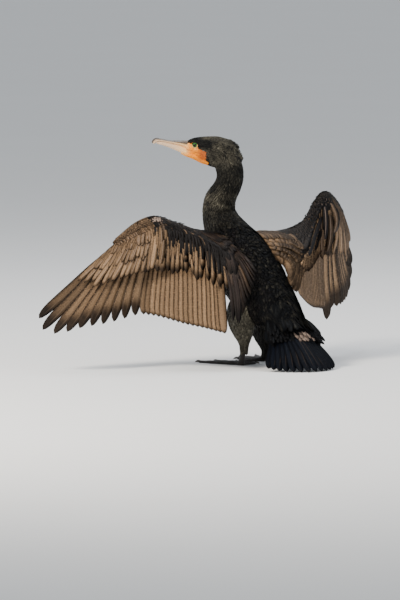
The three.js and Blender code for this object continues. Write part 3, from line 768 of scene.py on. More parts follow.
class Nodes:
    """A material's node tree, with short calls for the nodes that these finishes use."""

    def __init__(self, name):
        self.material = bpy.data.materials.new(name)
        self.material.use_nodes = True
        self.tree = self.material.node_tree
        self.shader = self.tree.nodes["Principled BSDF"]

    def new(self, kind, **settings):
        node = self.tree.nodes.new(kind)
        for key, value in settings.items():
            setattr(node, key, value)
        return node

    def link(self, output, socket):
        self.tree.links.new(output, socket)

    def put(self, socket, value):
        """Sets a socket to a number or colour, or links it to an output."""
        if hasattr(value, "is_linked"):
            self.link(value, socket)
        else:
            socket.default_value = value

    def math(self, operation, a, b=0.0, c=0.0):
        node = self.new("ShaderNodeMath", operation=operation)
        for socket, value in zip(node.inputs, (a, b, c)):
            self.put(socket, value)
        return node.outputs[0]

    def step(self, value, low, high, start=0.0, end=1.0):
        """A soft step of value from start at low to end at high."""
        node = self.new("ShaderNodeMapRange", interpolation_type="SMOOTHSTEP")
        keys = ("Value", "From Min", "From Max", "To Min", "To Max")
        for key, given in zip(keys, (value, low, high, start, end)):
            self.put(node.inputs[key], given)
        return node.outputs[0]

    def mix(self, share, a, b):
        node = self.new("ShaderNodeMix", data_type="RGBA")
        self.put(node.inputs[0], share)
        self.put(node.inputs[6], a)
        self.put(node.inputs[7], b)
        return node.outputs[2]

    def noise(self, scale, detail=3.0, vector=None, stretch=None):
        node = self.new("ShaderNodeTexNoise")
        node.inputs["Scale"].default_value = scale
        node.inputs["Detail"].default_value = detail
        place = vector or self.new("ShaderNodeTexCoord").outputs["Object"]
        if stretch:
            turned = self.new("ShaderNodeMapping")
            self.link(place, turned.inputs["Vector"])
            turned.inputs["Scale"].default_value = stretch
            place = turned.outputs[0]
        self.link(place, node.inputs["Vector"])
        return node.outputs["Fac"]

    def cells(self, scale, feature="F1"):
        node = self.new("ShaderNodeTexVoronoi", feature=feature)
        node.inputs["Scale"].default_value = scale
        self.link(self.new("ShaderNodeTexCoord").outputs["Object"], node.inputs["Vector"])
        return node.outputs["Distance"]

    def bump(self, height, strength, distance):
        node = self.new("ShaderNodeBump")
        node.inputs["Strength"].default_value = strength
        node.inputs["Distance"].default_value = distance
        self.link(height, node.inputs["Height"])
        self.link(node.outputs[0], self.shader.inputs["Normal"])

    def set(self, **values):
        for key, value in values.items():
            self.put(self.shader.inputs[key.replace("_", " ")], value)


def rgba(colour):
    return (*[float(c) for c in colour[:3]], 1.0)


def plumage(name, barbs, rim=(0.62, 0.98), tip=(0.74, 0.98), shaft=0.5, web=0.0, roughness=0.55,
            gloss=0.08, quill_colour="shaft"):
    """Feather finish: its own colour, a dark rim and tip, a shaft, and barbs as fine slanting ridges.

    Across the feather a = |2u - 1|. The rim is a soft step of a and of v, the shaft the middle 5%,
    and the barbs are sin(2 pi (v barbs + 0.35 a barbs)). web darkens the inner vane.
    """
    n = Nodes(name)
    attribute = n.new("ShaderNodeAttribute", attribute_name="Plumage")
    uv = n.new("ShaderNodeUVMap", uv_map="Feather")
    parts = n.new("ShaderNodeSeparateXYZ")
    n.link(uv.outputs[0], parts.inputs[0])
    u, v = parts.outputs[0], parts.outputs[1]
    across = n.math("ABSOLUTE", n.math("MULTIPLY_ADD", u, 2.0, -1.0))
    mottle = n.noise(420, 4)
    rough_rim = n.math("MULTIPLY", n.step(across, *rim), n.step(mottle, 0.2, 0.55))
    edge = n.math("MAXIMUM", rough_rim, n.step(v, *tip))
    edge = n.math("MULTIPLY", edge, attribute.outputs["Alpha"])
    slant = n.math("MULTIPLY_ADD", across, 0.35 * barbs, n.math("MULTIPLY", v, barbs))
    barb = n.math("SINE", n.math("MULTIPLY", slant, TAU))
    base = n.mix(n.step(mottle, 0.3, 0.75, 0.0, 0.45), attribute.outputs["Color"], (0.0, 0.0, 0.0, 1.0))
    base = n.mix(n.step(barb, -1.0, 1.0, 0.0, 0.16), base, (0.0, 0.0, 0.0, 1.0))
    if web:
        base = n.mix(n.step(u, 0.5, 0.62, 0.0, web), base, rgba(shade("rim")))
    base = n.mix(edge, base, rgba(shade("rim")))
    quill = n.math("MULTIPLY", n.step(across, 0.1, 0.03), n.step(v, 0.98, 0.8))
    base = n.mix(n.math("MULTIPLY", quill, shaft), base, rgba(shade(quill_colour)))
    rough = n.step(mottle, 0.2, 0.8, roughness - 0.1, roughness + 0.12)
    n.set(Base_Color=base, Roughness=rough, Specular_IOR_Level=gloss)
    n.bump(n.math("MULTIPLY_ADD", mottle, 0.6, barb), 0.35, 0.00025)
    return n.material


def skin_finish():
    """Dark skin under the feathers and wrinkled orange skin on the face, by the vertex colour."""
    n = Nodes("skin")
    attribute = n.new("ShaderNodeAttribute", attribute_name="Plumage")
    grain = n.cells(900)
    folds = n.noise(260, 3, stretch=(1, 1, 2.2))
    base = n.mix(n.step(folds, 0.35, 0.7, 0.0, 0.35), attribute.outputs["Color"], (0.02, 0.008, 0.004, 1.0))
    n.set(Base_Color=base, Roughness=n.step(grain, 0.0, 0.8, 0.5, 0.65), Specular_IOR_Level=0.12)
    n.bump(n.math("MULTIPLY_ADD", folds, 1.5, grain), 0.6, 0.0006)
    return n.material


def horn_finish(name, pale, dark, ridge, streak=0.4, warm=0.0):
    """Bill or claw horn: pale sides, warm at the root, a dark ridge on top and long fine streaks."""
    n = Nodes(name)
    uv = n.new("ShaderNodeUVMap", uv_map="Feather")
    streaks = n.noise(5, 4, vector=uv.outputs[0], stretch=(9, 1.6, 1))
    parts = n.new("ShaderNodeSeparateXYZ")
    n.link(uv.outputs[0], parts.inputs[0])
    top = n.math("ABSOLUTE", n.math("SUBTRACT", parts.outputs[0], 0.75))
    width = n.step(parts.outputs[1], 0.0, 0.4, ridge * 1.25, ridge)
    base = n.mix(n.step(streaks, 0.35, 0.72, 0.0, streak), rgba(pale), rgba(dark))
    base = n.mix(n.step(parts.outputs[1], 0.45, 0.0, 0.0, warm), base, rgba(shade("cream")))
    base = n.mix(n.step(top, width, n.math("MULTIPLY", width, 0.7), 0.0, 0.95), base, rgba(dark))
    fine = n.noise(1500, 2)
    n.set(Base_Color=base, Roughness=n.step(fine, 0.2, 0.8, 0.28, 0.42))
    n.bump(streaks, 0.3, 0.0004)
    return n.material


def eye_finish():
    """Rings about the gaze: pupil, green iris with fine spokes, a pale rim, then dark."""
    n = Nodes("eye")
    uv = n.new("ShaderNodeUVMap", uv_map="Feather")
    parts = n.new("ShaderNodeSeparateXYZ")
    n.link(uv.outputs[0], parts.inputs[0])
    spokes = n.noise(3, 3, vector=uv.outputs[0], stretch=(30, 3, 1))
    v = parts.outputs[1]
    iris = n.mix(n.step(spokes, 0.3, 0.7), rgba(shade("iris")), rgba(shade("iris") * 0.45))
    iris = n.mix(n.step(v, 0.24, 0.3, 0.0, 0.7), iris, rgba(shade("iris") * 2.2))
    base = n.mix(n.step(v, 0.15, 0.165), (0.001, 0.001, 0.001, 1.0), iris)
    base = n.mix(n.step(v, 0.33, 0.37), base, (0.01, 0.01, 0.01, 1.0))
    n.set(Base_Color=base, Roughness=0.18, Specular_IOR_Level=0.2, Coat_Weight=0.12, Coat_Roughness=0.03)
    return n.material


def leg_finish(name, scale, strength):
    """Scutes as raised cells on dark skin, with paler worn tops."""
    n = Nodes(name)
    cell = n.cells(scale, "DISTANCE_TO_EDGE")
    wear = n.noise(180, 4)
    base = n.mix(n.step(cell, 0.02, 0.2), rgba(shade("leg") * 0.4), rgba(shade("leg")))
    base = n.mix(n.step(wear, 0.5, 0.75, 0.0, 0.5), base, rgba(shade("leg") * 3 + 0.01))
    n.set(Base_Color=base, Roughness=n.step(wear, 0.2, 0.8, 0.42, 0.62))
    n.bump(n.step(cell, 0.0, 0.16), strength, 0.0005)
    return n.material


def floor_finish():
    n = Nodes("floor")
    grain = n.noise(3, 3)
    pale = shade("floor")
    n.set(Base_Color=n.mix(grain, rgba(pale), rgba(pale * 0.97)), Roughness=0.9)
    return n.material


# Sizes and colours that a user may change

def length(name, description, default):
    return bpy.props.FloatProperty(name=name, description=description, default=default, min=0.1)


def paint(name, description, default):
    return bpy.props.FloatVectorProperty(
        name=name, description=description, default=default, size=3, min=0, max=1, subtype="COLOR")


class CormorantSizes(bpy.types.PropertyGroup):
    coat_depth: length("Coat depth", "Thickness of the plumage on the body, in millimetres", 4.0)
    back_feather: length("Back feather", "Length of a feather on the back, in millimetres", 23.0)
    neck_feather: length("Neck feather", "Length of a feather on the neck, in millimetres", 11.0)
    head_feather: length("Head feather", "Length of a feather on the head, in millimetres", 6.5)
    secondaries: bpy.props.IntProperty(
        name="Secondaries", description="Long feathers on each forearm", default=18, min=6)
    primaries: bpy.props.IntProperty(
        name="Primaries", description="Long feathers on each hand", default=10, min=6)
    seed: bpy.props.IntProperty(name="Seed", description="Start of the random draws", default=7)


class CormorantLooks(bpy.types.PropertyGroup):
    body: paint("Body", "Black of the trunk", (0.0035, 0.0042, 0.0055))
    neck: paint("Neck", "Brown-black of the neck and cheeks", (0.012, 0.0115, 0.0105))
    fleck: paint("Fleck", "Olive-grey flecks of the head, neck and thighs", (0.12, 0.108, 0.08))
    thigh: paint("Thigh", "Thigh feathers", (0.1, 0.092, 0.07))
    bronze: paint("Bronze", "Middle of the coverts", (0.16, 0.1, 0.058))
    scapular: paint("Scapular", "Middle of the scapulars", (0.033, 0.024, 0.022))
    patch: paint("Patch", "Worn pale coverts at the wrist and rump", (0.55, 0.4, 0.32))
    flight: paint("Flight", "Primaries and secondaries", (0.31, 0.195, 0.11))
    rim: paint("Rim", "Dark edge of a feather", (0.006, 0.005, 0.005))
    shaft: paint("Shaft", "Feather shaft", (0.1, 0.07, 0.045))
    tail: paint("Tail", "Tail feathers", (0.0032, 0.0045, 0.0085))
    horn: paint("Horn", "Sides of the bill", (0.68, 0.47, 0.3))
    culmen: paint("Culmen", "Ridge of the bill", (0.022, 0.016, 0.014))
    black: paint("Black", "Middle of a black covert", (0.014, 0.0125, 0.013))
    face: paint("Face", "Bare orange skin of the face", (1.0, 0.29, 0.0))
    cream: paint("Cream", "Pale skin by the bill and under the eye", (0.95, 0.55, 0.2))
    gape: paint("Gape", "Redder skin behind the gape", (0.4, 0.085, 0.02))
    iris: paint("Iris", "Eye colour", (0.035, 0.13, 0.025))
    leg: paint("Leg", "Legs and feet", (0.03, 0.024, 0.02))
    floor: paint("Floor", "Floor under the bird", (0.9, 0.9, 0.9))


class CormorantMaker:
    bl_options = {"REGISTER", "UNDO"}

    def rng(self):
        return np.random.default_rng(measures().seed + sum(map(ord, self.bl_idname)))


# Rear edge of the bare face at heights over the head's centre, and its top edge along the head
FACE_REAR = ([-30, -25, -20, -12, -5, -1, 3, 9, 15], [31, 25, 21, 19.5, 21, 25, 33, 36, 40])
FACE_TOP = ([20, 33, 39, 45, 52, 66], [0, 6, 12.5, 14.5, 15.5, 17.5])


def on_face(points):
    local = points - HEAD_CENTRE
    return local @ AHEAD, local[..., 2]


def face_mask(points):
    """1 on the bare face: ahead of its rear edge and below its top edge."""
    x, z = on_face(points)
    rear = np.interp(z, *FACE_REAR)
    top = np.interp(x, *FACE_TOP)
    return soft_step(rear - 1, rear + 1, x) * soft_step(top + 1, top - 1, z)


def face_colour(points):
    """Orange, cream towards the bill and in a crescent under the eye, red-brown behind the gape."""
    x, z = on_face(points)
    cream = soft_step(50, 66, x) * soft_step(-16, 0, z)
    under_eye = np.hypot(x - EYE_PLACE[0], z - EYE_PLACE[2])
    crescent = np.exp(-((under_eye - 8) / 1.5) ** 2) * soft_step(6, 0, z + 0.25 * (x - 45))
    rust = soft_step(46, 31, x) * soft_step(-25, -14, z)
    gape = np.exp(-((z + 3.5 - 0.3 * (x - 40)) / 1.1) ** 2) * soft_step(22, 30, x)
    colour = np.ones(points.shape[:-1] + (1,)) * shade("face")
    for share, name in ((np.clip(cream, 0, 0.85), "cream"), (0.85 * crescent, "cream"),
                        (0.9 * rust, "gape"), (0.75 * gape, "gape")):
        colour = colour + (shade(name) - colour) * share[..., None]
    return colour


def skin_colour(points):
    bare = face_mask(points)[..., None]
    colour = shade("body") + (face_colour(points) - shade("body")) * bare
    return np.concatenate([colour, np.zeros(points.shape[:-1] + (1,))], -1)


def arm_shell(wing, name):
    """The flesh of a wing: an oval about the middle of each chord, nearly as long and as thick."""
    rows, around = 60, 28
    s = np.linspace(0, 3, rows)[:, None] * np.ones(around)
    front, back, half, lift, _ = wing_field(wing, np.clip(s, 0, 2.999))
    turn = turn_grid(rows, around)
    middle = (front + back) / 2
    points = middle + (front - back) / 2 * (np.cos(turn) * 0.97)[..., None]
    points = points + lift * ((half - 1.0) * np.sin(turn))[..., None]
    uv = np.stack([turn / TAU, s / 3], -1)
    bake = map_place("wing_" + name, s / 3, np.abs(turn / np.pi - 1))
    colour = np.ones((rows, around, 1)) * np.append(shade("body"), 0)
    faces = ring_faces(rows, around)
    if wing["side"] > 0:
        faces = faces[:, ::-1]
    return Shell(points, faces, uv, bake, colour)


class CORMORANT_OT_skin(CormorantMaker, bpy.types.Operator):
    """Skin of the trunk, neck, head, thighs and arms, under the feathers"""

    bl_idname = "cormorant.skin"
    bl_label = "Skin"

    def execute(self, context):
        depth = measures().coat_depth
        shells = [
            tube_shell(TRUNK_TUBE, 120, 64, skin_colour, "trunk", -depth),
            tube_shell(SKULL_TUBE, 90, 64, skin_colour, "head", -1.0),
        ]
        for name, leg in LEGS.items():
            shells.append(tube_shell(thigh_tube(leg), 50, 36, skin_colour, "thigh_" + name, -2.0))
            shells.append(arm_shell(WINGS[name], name))
        flesh = ["head", "neck_upper", "neck_lower", "torso", "leg_left_thigh", "leg_right_thigh"]
        add_piece("skin", joined(shells), skin_finish(), flesh)
        return {"FINISHED"}


class CORMORANT_OT_body_coat(CormorantMaker, bpy.types.Operator):
    """Feathers of the trunk, neck, head and thighs"""

    bl_idname = "cormorant.body_coat"
    bl_label = "Body feathers"

    def execute(self, context):
        rng = self.rng()
        sizes = measures()
        contour = plumage("contour_feather", 9, rim=(0.5, 1.0), tip=(0.8, 1.0), shaft=0.0, gloss=0.05)
        fine = plumage("fine_feather", 5, shaft=0.0, gloss=0.1)
        back = tube_coat(
            TRUNK_TUBE, "trunk", rng, trunk_colour, span=(0.02, 0.5), step=5.2, apart=5.2,
            length=sizes.back_feather * 1.15, width=12, depth=sizes.coat_depth,
            camber=0.012, thick=0.2, rows=6)
        add_piece("feathers_trunk", back, contour)

        def finer(t):
            return 1 - 0.38 * soft_step(0.62, 0.9, t)

        neck = tube_coat(
            TRUNK_TUBE, "trunk", rng, trunk_colour, span=(0.46, 0.985), step=3.8, apart=3.1,
            length=sizes.neck_feather * 1.2, width=4.4, depth=2.4, small=finer, camber=0.05, thick=0.22)
        add_piece("feathers_neck", neck, fine)

        def feathered(root, tip, t, turn):
            return face_mask(tip + rng.normal(0, 0.8, tip.shape)) < 0.5

        head = tube_coat(
            SKULL_TUBE, "head", rng, head_colour, span=(0.03, 0.985), step=2.0, apart=1.8,
            length=sizes.head_feather, width=2.4, depth=1.4, keep=feathered, camber=0.05, thick=0.16)
        add_piece("feathers_head", joined([head, self.crest(rng)]), fine)
        for name, leg in LEGS.items():
            tube = thigh_tube(leg)
            turned = Tube(tube.places[::-1], tube.sizes[::-1, 1:])
            thigh = tube_coat(
                turned, "thigh_" + name, rng, thigh_colour, span=(0.04, 0.95), step=4.4, apart=4.2,
                length=18, width=6.5, depth=2.4, camber=0.05, thick=0.25)
            add_piece("feathers_thigh_" + name, thigh, fine)
        return {"FINISHED"}

    def crest(self, rng):
        """Narrow ragged feathers at the back of the crown, that point back and a little up."""
        count = CREST_FEATHERS
        share = rng.random(count)
        side = rng.normal(0, 0.32, count)
        turn = np.pi * 1.5 + side - 0.3 * share
        t = 0.14 + 0.2 * (1 - share)
        root = SKULL_TUBE.point(t, turn, -2)
        lift = unit(SKULL_TUBE.point(t, turn, 2) - root)
        reach = rng.uniform(5, 8.5, count)[:, None]
        back = -AHEAD * (0.9 - 0.25 * share[:, None]) + UPWARD * (0.1 - 0.75 * share[:, None])
        tip = root + unit(back + lift * 0.02 + rng.normal(0, 0.05, (count, 3))) * reach
        tint = head_colour(root, t, turn, rng)
        bake = map_place("head", np.abs(turn % TAU / np.pi - 1), t)
        return feather_shell(root, tip, lift, 2.6, tint, bake, bow=0.8, camber=0.05, thick=0.16)


class CORMORANT_OT_wings(CormorantMaker, bpy.types.Operator):
    """Primaries, secondaries, tertials, scapulars and every row of coverts"""

    bl_idname = "cormorant.wings"
    bl_label = "Wings"

    def execute(self, context):
        rng = self.rng()
        sizes = measures()
        covert_finish = plumage("covert_feather", 16, rim=(0.6, 0.95), tip=(0.68, 0.92), shaft=0.4)
        fan_finish = plumage(
            "primary_covert", 30, rim=(0.7, 1.0), tip=(0.9, 1.0), shaft=0.45, quill_colour="patch")
        for name, wing in WINGS.items():
            side = wing["side"]
            left = side < 0
            upper_arm_colour = scapular_colour if left else tertial_colour
            flights = flight_colour(wing)
            web = 0.45 if left else 0.0
            widths = FLIGHT_WIDTHS[name]
            finishes = {
                "secondaries": plumage(
                    "secondary", 70, rim=(0.55, 1.0), tip=(0.93, 0.99), shaft=0.7, web=web),
                "primaries": plumage(
                    "primary", 70, rim=(0.45, 0.92), tip=(0.74, 0.9), shaft=0.7, web=web),
            }
            for node, (kind, flesh) in enumerate((("secondaries", "forearm"), ("primaries", "hand")), 1):
                count = sizes.secondaries if node == 1 else sizes.primaries
                s = node + np.linspace(0.02, 0.97, count)
                front, back, _, _, tip = wing_field(wing, s)
                root = back + (front - back) * FLIGHT_SEAT
                run = np.gradient(0.35 * root + 0.65 * tip, axis=0)
                lift = unit(np.cross(run, tip - root)) * side
                bake = map_place("wing_" + name, s / 3, np.full(count, 0.4))
                wide = np.linspace(*widths[node - 1], count)
                blades = feather_shell(
                    root, tip, lift, wide, flights(s, s, rng), bake, bow=8,
                    tilt=-FLIGHT_TILT * side, rows=16, blunt=13 if left and node == 2 else 18,
                    shaft=0.3 * side, narrow=0.3, thick=0.5, camber=0.02, section=LONG_SECTION)
                add_piece(
                    f"{kind}_{name}", blades, finishes[kind], [f"wing_{name}_{flesh}"])
            colours = covert_colour(wing)
            row = partial(covert_row, wing, name, rng)
            fan = []
            for k, (count, q, width) in enumerate(HAND_COVERTS):
                fan.append(row(
                    colours, (1.9, 2.98), count, q, width, (0.3, 2.0 + 0.7 * k),
                    rows=8, camber=0.03, thick=0.35, blunt=7, bow=0.5, shift=0.5 * (k % 2)))
            add_piece(f"primary_coverts_{name}", joined(fan), fan_finish)
            rows = []
            for k, (count, q, width) in enumerate(FOREARM_COVERTS):
                if not left:
                    count, width = int(1.5 * count), 0.7 * width
                tone = flights if k < 1 else colours
                rows.append(row(
                    tone, (0.95, 2.05), count, q, width, (0.3, 1.3 + 0.8 * k),
                    rows=8, camber=0.02 + 0.008 * k, thick=0.35, blunt=7, bow=0.5, shift=0.5 * (k % 2)))
            for k in range(SMALL_COVERT_ROWS):
                q = 0.66 - 0.064 * k
                rows.append(row(
                    colours, (0.2, 2.98), 48 + 3 * k, (q, q + 0.3), 12 - 0.6 * k,
                    (0.0, 3.9 - 0.24 * k), bow=0.5, rows=6, camber=0.07, thick=0.3, shift=0.5 * (k % 2)))
            raised = rng.uniform(0.5, 4.5, EDGE_COVERTS)
            rows.append(row(
                colours, (1.2, 2.5), EDGE_COVERTS, (0.03, 0.16), 4, (0.0, raised),
                bow=0.3, rows=5, camber=0.05, thick=0.25))
            for k in range(UNDER_COVERT_ROWS):
                q = 0.75 - 0.13 * k
                rows.append(row(
                    colours, (0.3, 2.98), 46, (q, q + 0.45), 14, (0.0, 2.5),
                    face=-1, bow=0.4, rows=6, camber=0.06, thick=0.3, shift=0.5 * (k % 2)))
            add_piece(f"coverts_{name}", joined(rows), covert_finish)
            scapulars = []
            for k, (q0, q1, rise) in enumerate(SCAPULAR_ROWS):
                scapulars.append(row(
                    upper_arm_colour, (0.2, 0.98), SCAPULARS_IN_ROW, (q0, q1), 21 - k, (-1.5, rise),
                    bow=0.6, rows=9, camber=0.03, thick=0.4, blunt=6, shift=0.5 * (k % 2)))
            add_piece(f"scapulars_{name}", joined(scapulars), covert_finish,
                      [f"wing_{name}_upper_arm"])
        return {"FINISHED"}


class CORMORANT_OT_tail(CormorantMaker, bpy.types.Operator):
    """Stiff tail feathers and the coverts at their root"""

    bl_idname = "cormorant.tail"
    bl_label = "Tail"

    def execute(self, context):
        rng = self.rng()
        finish = plumage(
            "tail_feather", 60, rim=(0.75, 1.0), tip=(0.93, 1.0), shaft=0.3, gloss=0.04)
        share = np.linspace(-1, 1, TAIL_FEATHERS)
        angle = np.radians(TAIL_TURN + TAIL_SPREAD * share)
        off = np.abs(share)
        root = np.column_stack([26 * np.sin(angle), np.full(TAIL_FEATHERS, -94.0), 87 - 5 * off])
        length = TAIL_LENGTH * (1 - 0.22 * off ** 1.5)
        drop = root[:, 2] - (0.9 + 5 * off ** 3)
        reach = np.sqrt(length ** 2 - drop ** 2)
        tip = root + np.column_stack([reach * np.sin(angle), -reach * np.cos(angle), -drop])
        lift = np.broadcast_to(unit(np.array([0, -0.55, 0.83])), root.shape)
        bake = map_place("tail", (share + 1) / 2, np.full(TAIL_FEATHERS, 0.5))
        tint = tinted(np.broadcast_to(shade("tail"), (TAIL_FEATHERS, 3)), 0.12, rng, 0.6)
        blades = feather_shell(
            root, tip, lift, 22, tint, bake, bow=5, tilt=0.085 * np.sign(share), rows=18, blunt=9,
            narrow=0.35, thick=0.7, camber=0.02, section=LONG_SECTION)
        add_piece("tail_feathers", blades, finish, ["tail"])
        contour = plumage("tail_covert", 12, shaft=0.0, gloss=0.05)
        shells = []
        for face in (1, -1):
            for k in range(TAIL_COVERT_ROWS):
                count = TAIL_COVERTS_IN_ROW
                side = np.linspace(-1, 1, count) + rng.normal(0, 0.04, count)
                spread = np.radians(TAIL_TURN + 32 * side)
                start = -84 - 5.0 * k
                height = 88 - 3 * k + face * (15 - 2.4 * k) * np.sqrt(np.maximum(1 - (0.8 * side) ** 2, 0))
                base = np.column_stack([36 * side, np.full(count, start), height])
                fall = [46 * np.sin(spread) * 0.8, -46 * np.cos(spread), np.full(count, -27.0)]
                end = base + np.column_stack(fall)
                up = np.broadcast_to(unit(np.array([0, -0.5, 0.86])) * face, base.shape)
                worn = (np.abs(side - 0.35) < 0.4) & (rng.random(count) < 0.55) & (face > 0) & (k > 1)
                colour = np.where(worn[:, None], shade("patch") * 0.6, shade("body"))
                colour = tinted(colour, 0.3, rng, 0.5)
                bake = map_place("tail", (side + 1) / 2, np.full(count, 0.1 + 0.05 * k))
                shells.append(feather_shell(base, end, up, 15, colour, bake, bow=2, rows=7, camber=0.06))
        add_piece("tail_coverts", joined(shells), contour)
        return {"FINISHED"}


class CORMORANT_OT_bill(CormorantMaker, bpy.types.Operator):
    """Hooked upper bill, lower bill and the throat skin between its sides"""

    bl_idname = "cormorant.bill"
    bl_label = "Bill"

    def execute(self, context):
        def ridged(t, turn):
            """1, with a ridge of 7% along the top and a groove as deep on each side of it."""
            off = np.abs((turn - 1.5 * np.pi + np.pi) % TAU - np.pi)
            fade = soft_step(0.95, 0.7, t)
            return 1 + fade * (0.07 * np.exp(-(off / 0.3) ** 2) - 0.07 * np.exp(-((off - 0.8) / 0.16) ** 2))

        horn = horn_finish("bill_horn", shade("horn"), shade("culmen"), 0.25, 0.3, 0.8)
        lower_horn = horn_finish("lower_bill_horn", shade("horn"), shade("culmen"), 0.001, 0.2, 0.9)
        upper = tube_shell(head_tube(UPPER_BILL), 110, 40, UNCOLOURED, "head", -0.1, shape=ridged)
        add_piece("upper_bill", upper, horn, ["bill_upper"])
        lower = tube_shell(head_tube(LOWER_BILL), 80, 32, UNCOLOURED, "head", -0.35)
        add_piece("lower_bill", lower, lower_horn, ["bill_lower"])

        def pleated(t, turn):
            """1 plus folds of 2% that run along the throat."""
            return 1 + 0.02 * np.sin(THROAT_FOLDS * turn) * soft_step(0, 0.3, t)

        def throat_colour(points):
            return np.concatenate([face_colour(points), np.ones(points.shape[:-1] + (1,))], -1)

        throat = tube_shell(head_tube(THROAT), 60, 56, throat_colour, "head", 0.0, shape=pleated)
        add_piece("throat", throat, skin_finish(), ["gular_skin"])
        return {"FINISHED"}


class CORMORANT_OT_eyes(CormorantMaker, bpy.types.Operator):
    """Eyeballs and the beaded rings of skin round them"""

    bl_idname = "cormorant.eyes"
    bl_label = "Eyes"

    def execute(self, context):
        finish = eye_finish()
        lid_finish = skin_finish()
        for side, name in ((-1, "left"), (1, "right")):
            centre = head_place(EYE_PLACE[0], side * EYE_PLACE[1], EYE_PLACE[2])
            gaze = unit(ASIDE * side + AHEAD * 0.25)
            right = unit(np.cross(gaze, UPWARD))
            up = np.cross(right, gaze)
            rows, around = 40, 40
            polar = (np.linspace(0.0005, 0.9995, rows)[:, None] * np.pi) * np.ones(around)
            turn = turn_grid(rows, around)
            ring = right * np.cos(turn)[..., None] + up * np.sin(turn)[..., None]
            ball = centre + EYE_RADIUS * (gaze * np.cos(polar)[..., None] + ring * np.sin(polar)[..., None])
            uv = np.stack([turn / TAU, polar / np.pi], -1)
            bake = map_place("head", 0.9 + 0.1 * turn / TAU, 0.9 + 0.1 * polar / np.pi)
            shell = Shell(ball, ring_faces(rows, around)[:, ::-1], uv, bake, np.zeros((rows, around, 4)))
            add_piece("eyeball_" + name, shell, finish, ["eye_" + name])
            lid_rows, lid_around = 96, 14
            a = np.arange(lid_rows + 1)[:, None] * TAU / lid_rows * np.ones(lid_around)
            b = turn_grid(lid_rows + 1, lid_around)
            beads = 1 + 0.14 * np.cos(EYE_BEADS * a)
            out = unit(right * np.cos(a)[..., None] + up * 0.92 * np.sin(a)[..., None])
            thick = 0.85 * beads
            radius = EYE_RADIUS * 0.86 + 0.5
            place = centre + gaze * (EYE_RADIUS * 0.5) + out * radius
            lid = place + out * (thick * np.cos(b))[..., None] + gaze * (thick * np.sin(b))[..., None]
            low = soft_step(0.55, -0.2, np.sin(a))[..., None]
            colour = np.append(shade("body"), 0) + np.append(shade("cream") * 0.8 - shade("body"), 0) * low
            uv = np.stack([a / TAU, b / TAU], -1)
            bake = map_place("head", 0.8 + 0.1 * a / TAU, 0.9 + 0.1 * b / TAU)
            shell = Shell(lid, ring_faces(lid_rows + 1, lid_around, False), uv, bake, colour)
            add_piece("eyelid_" + name, shell, lid_finish)
        return {"FINISHED"}


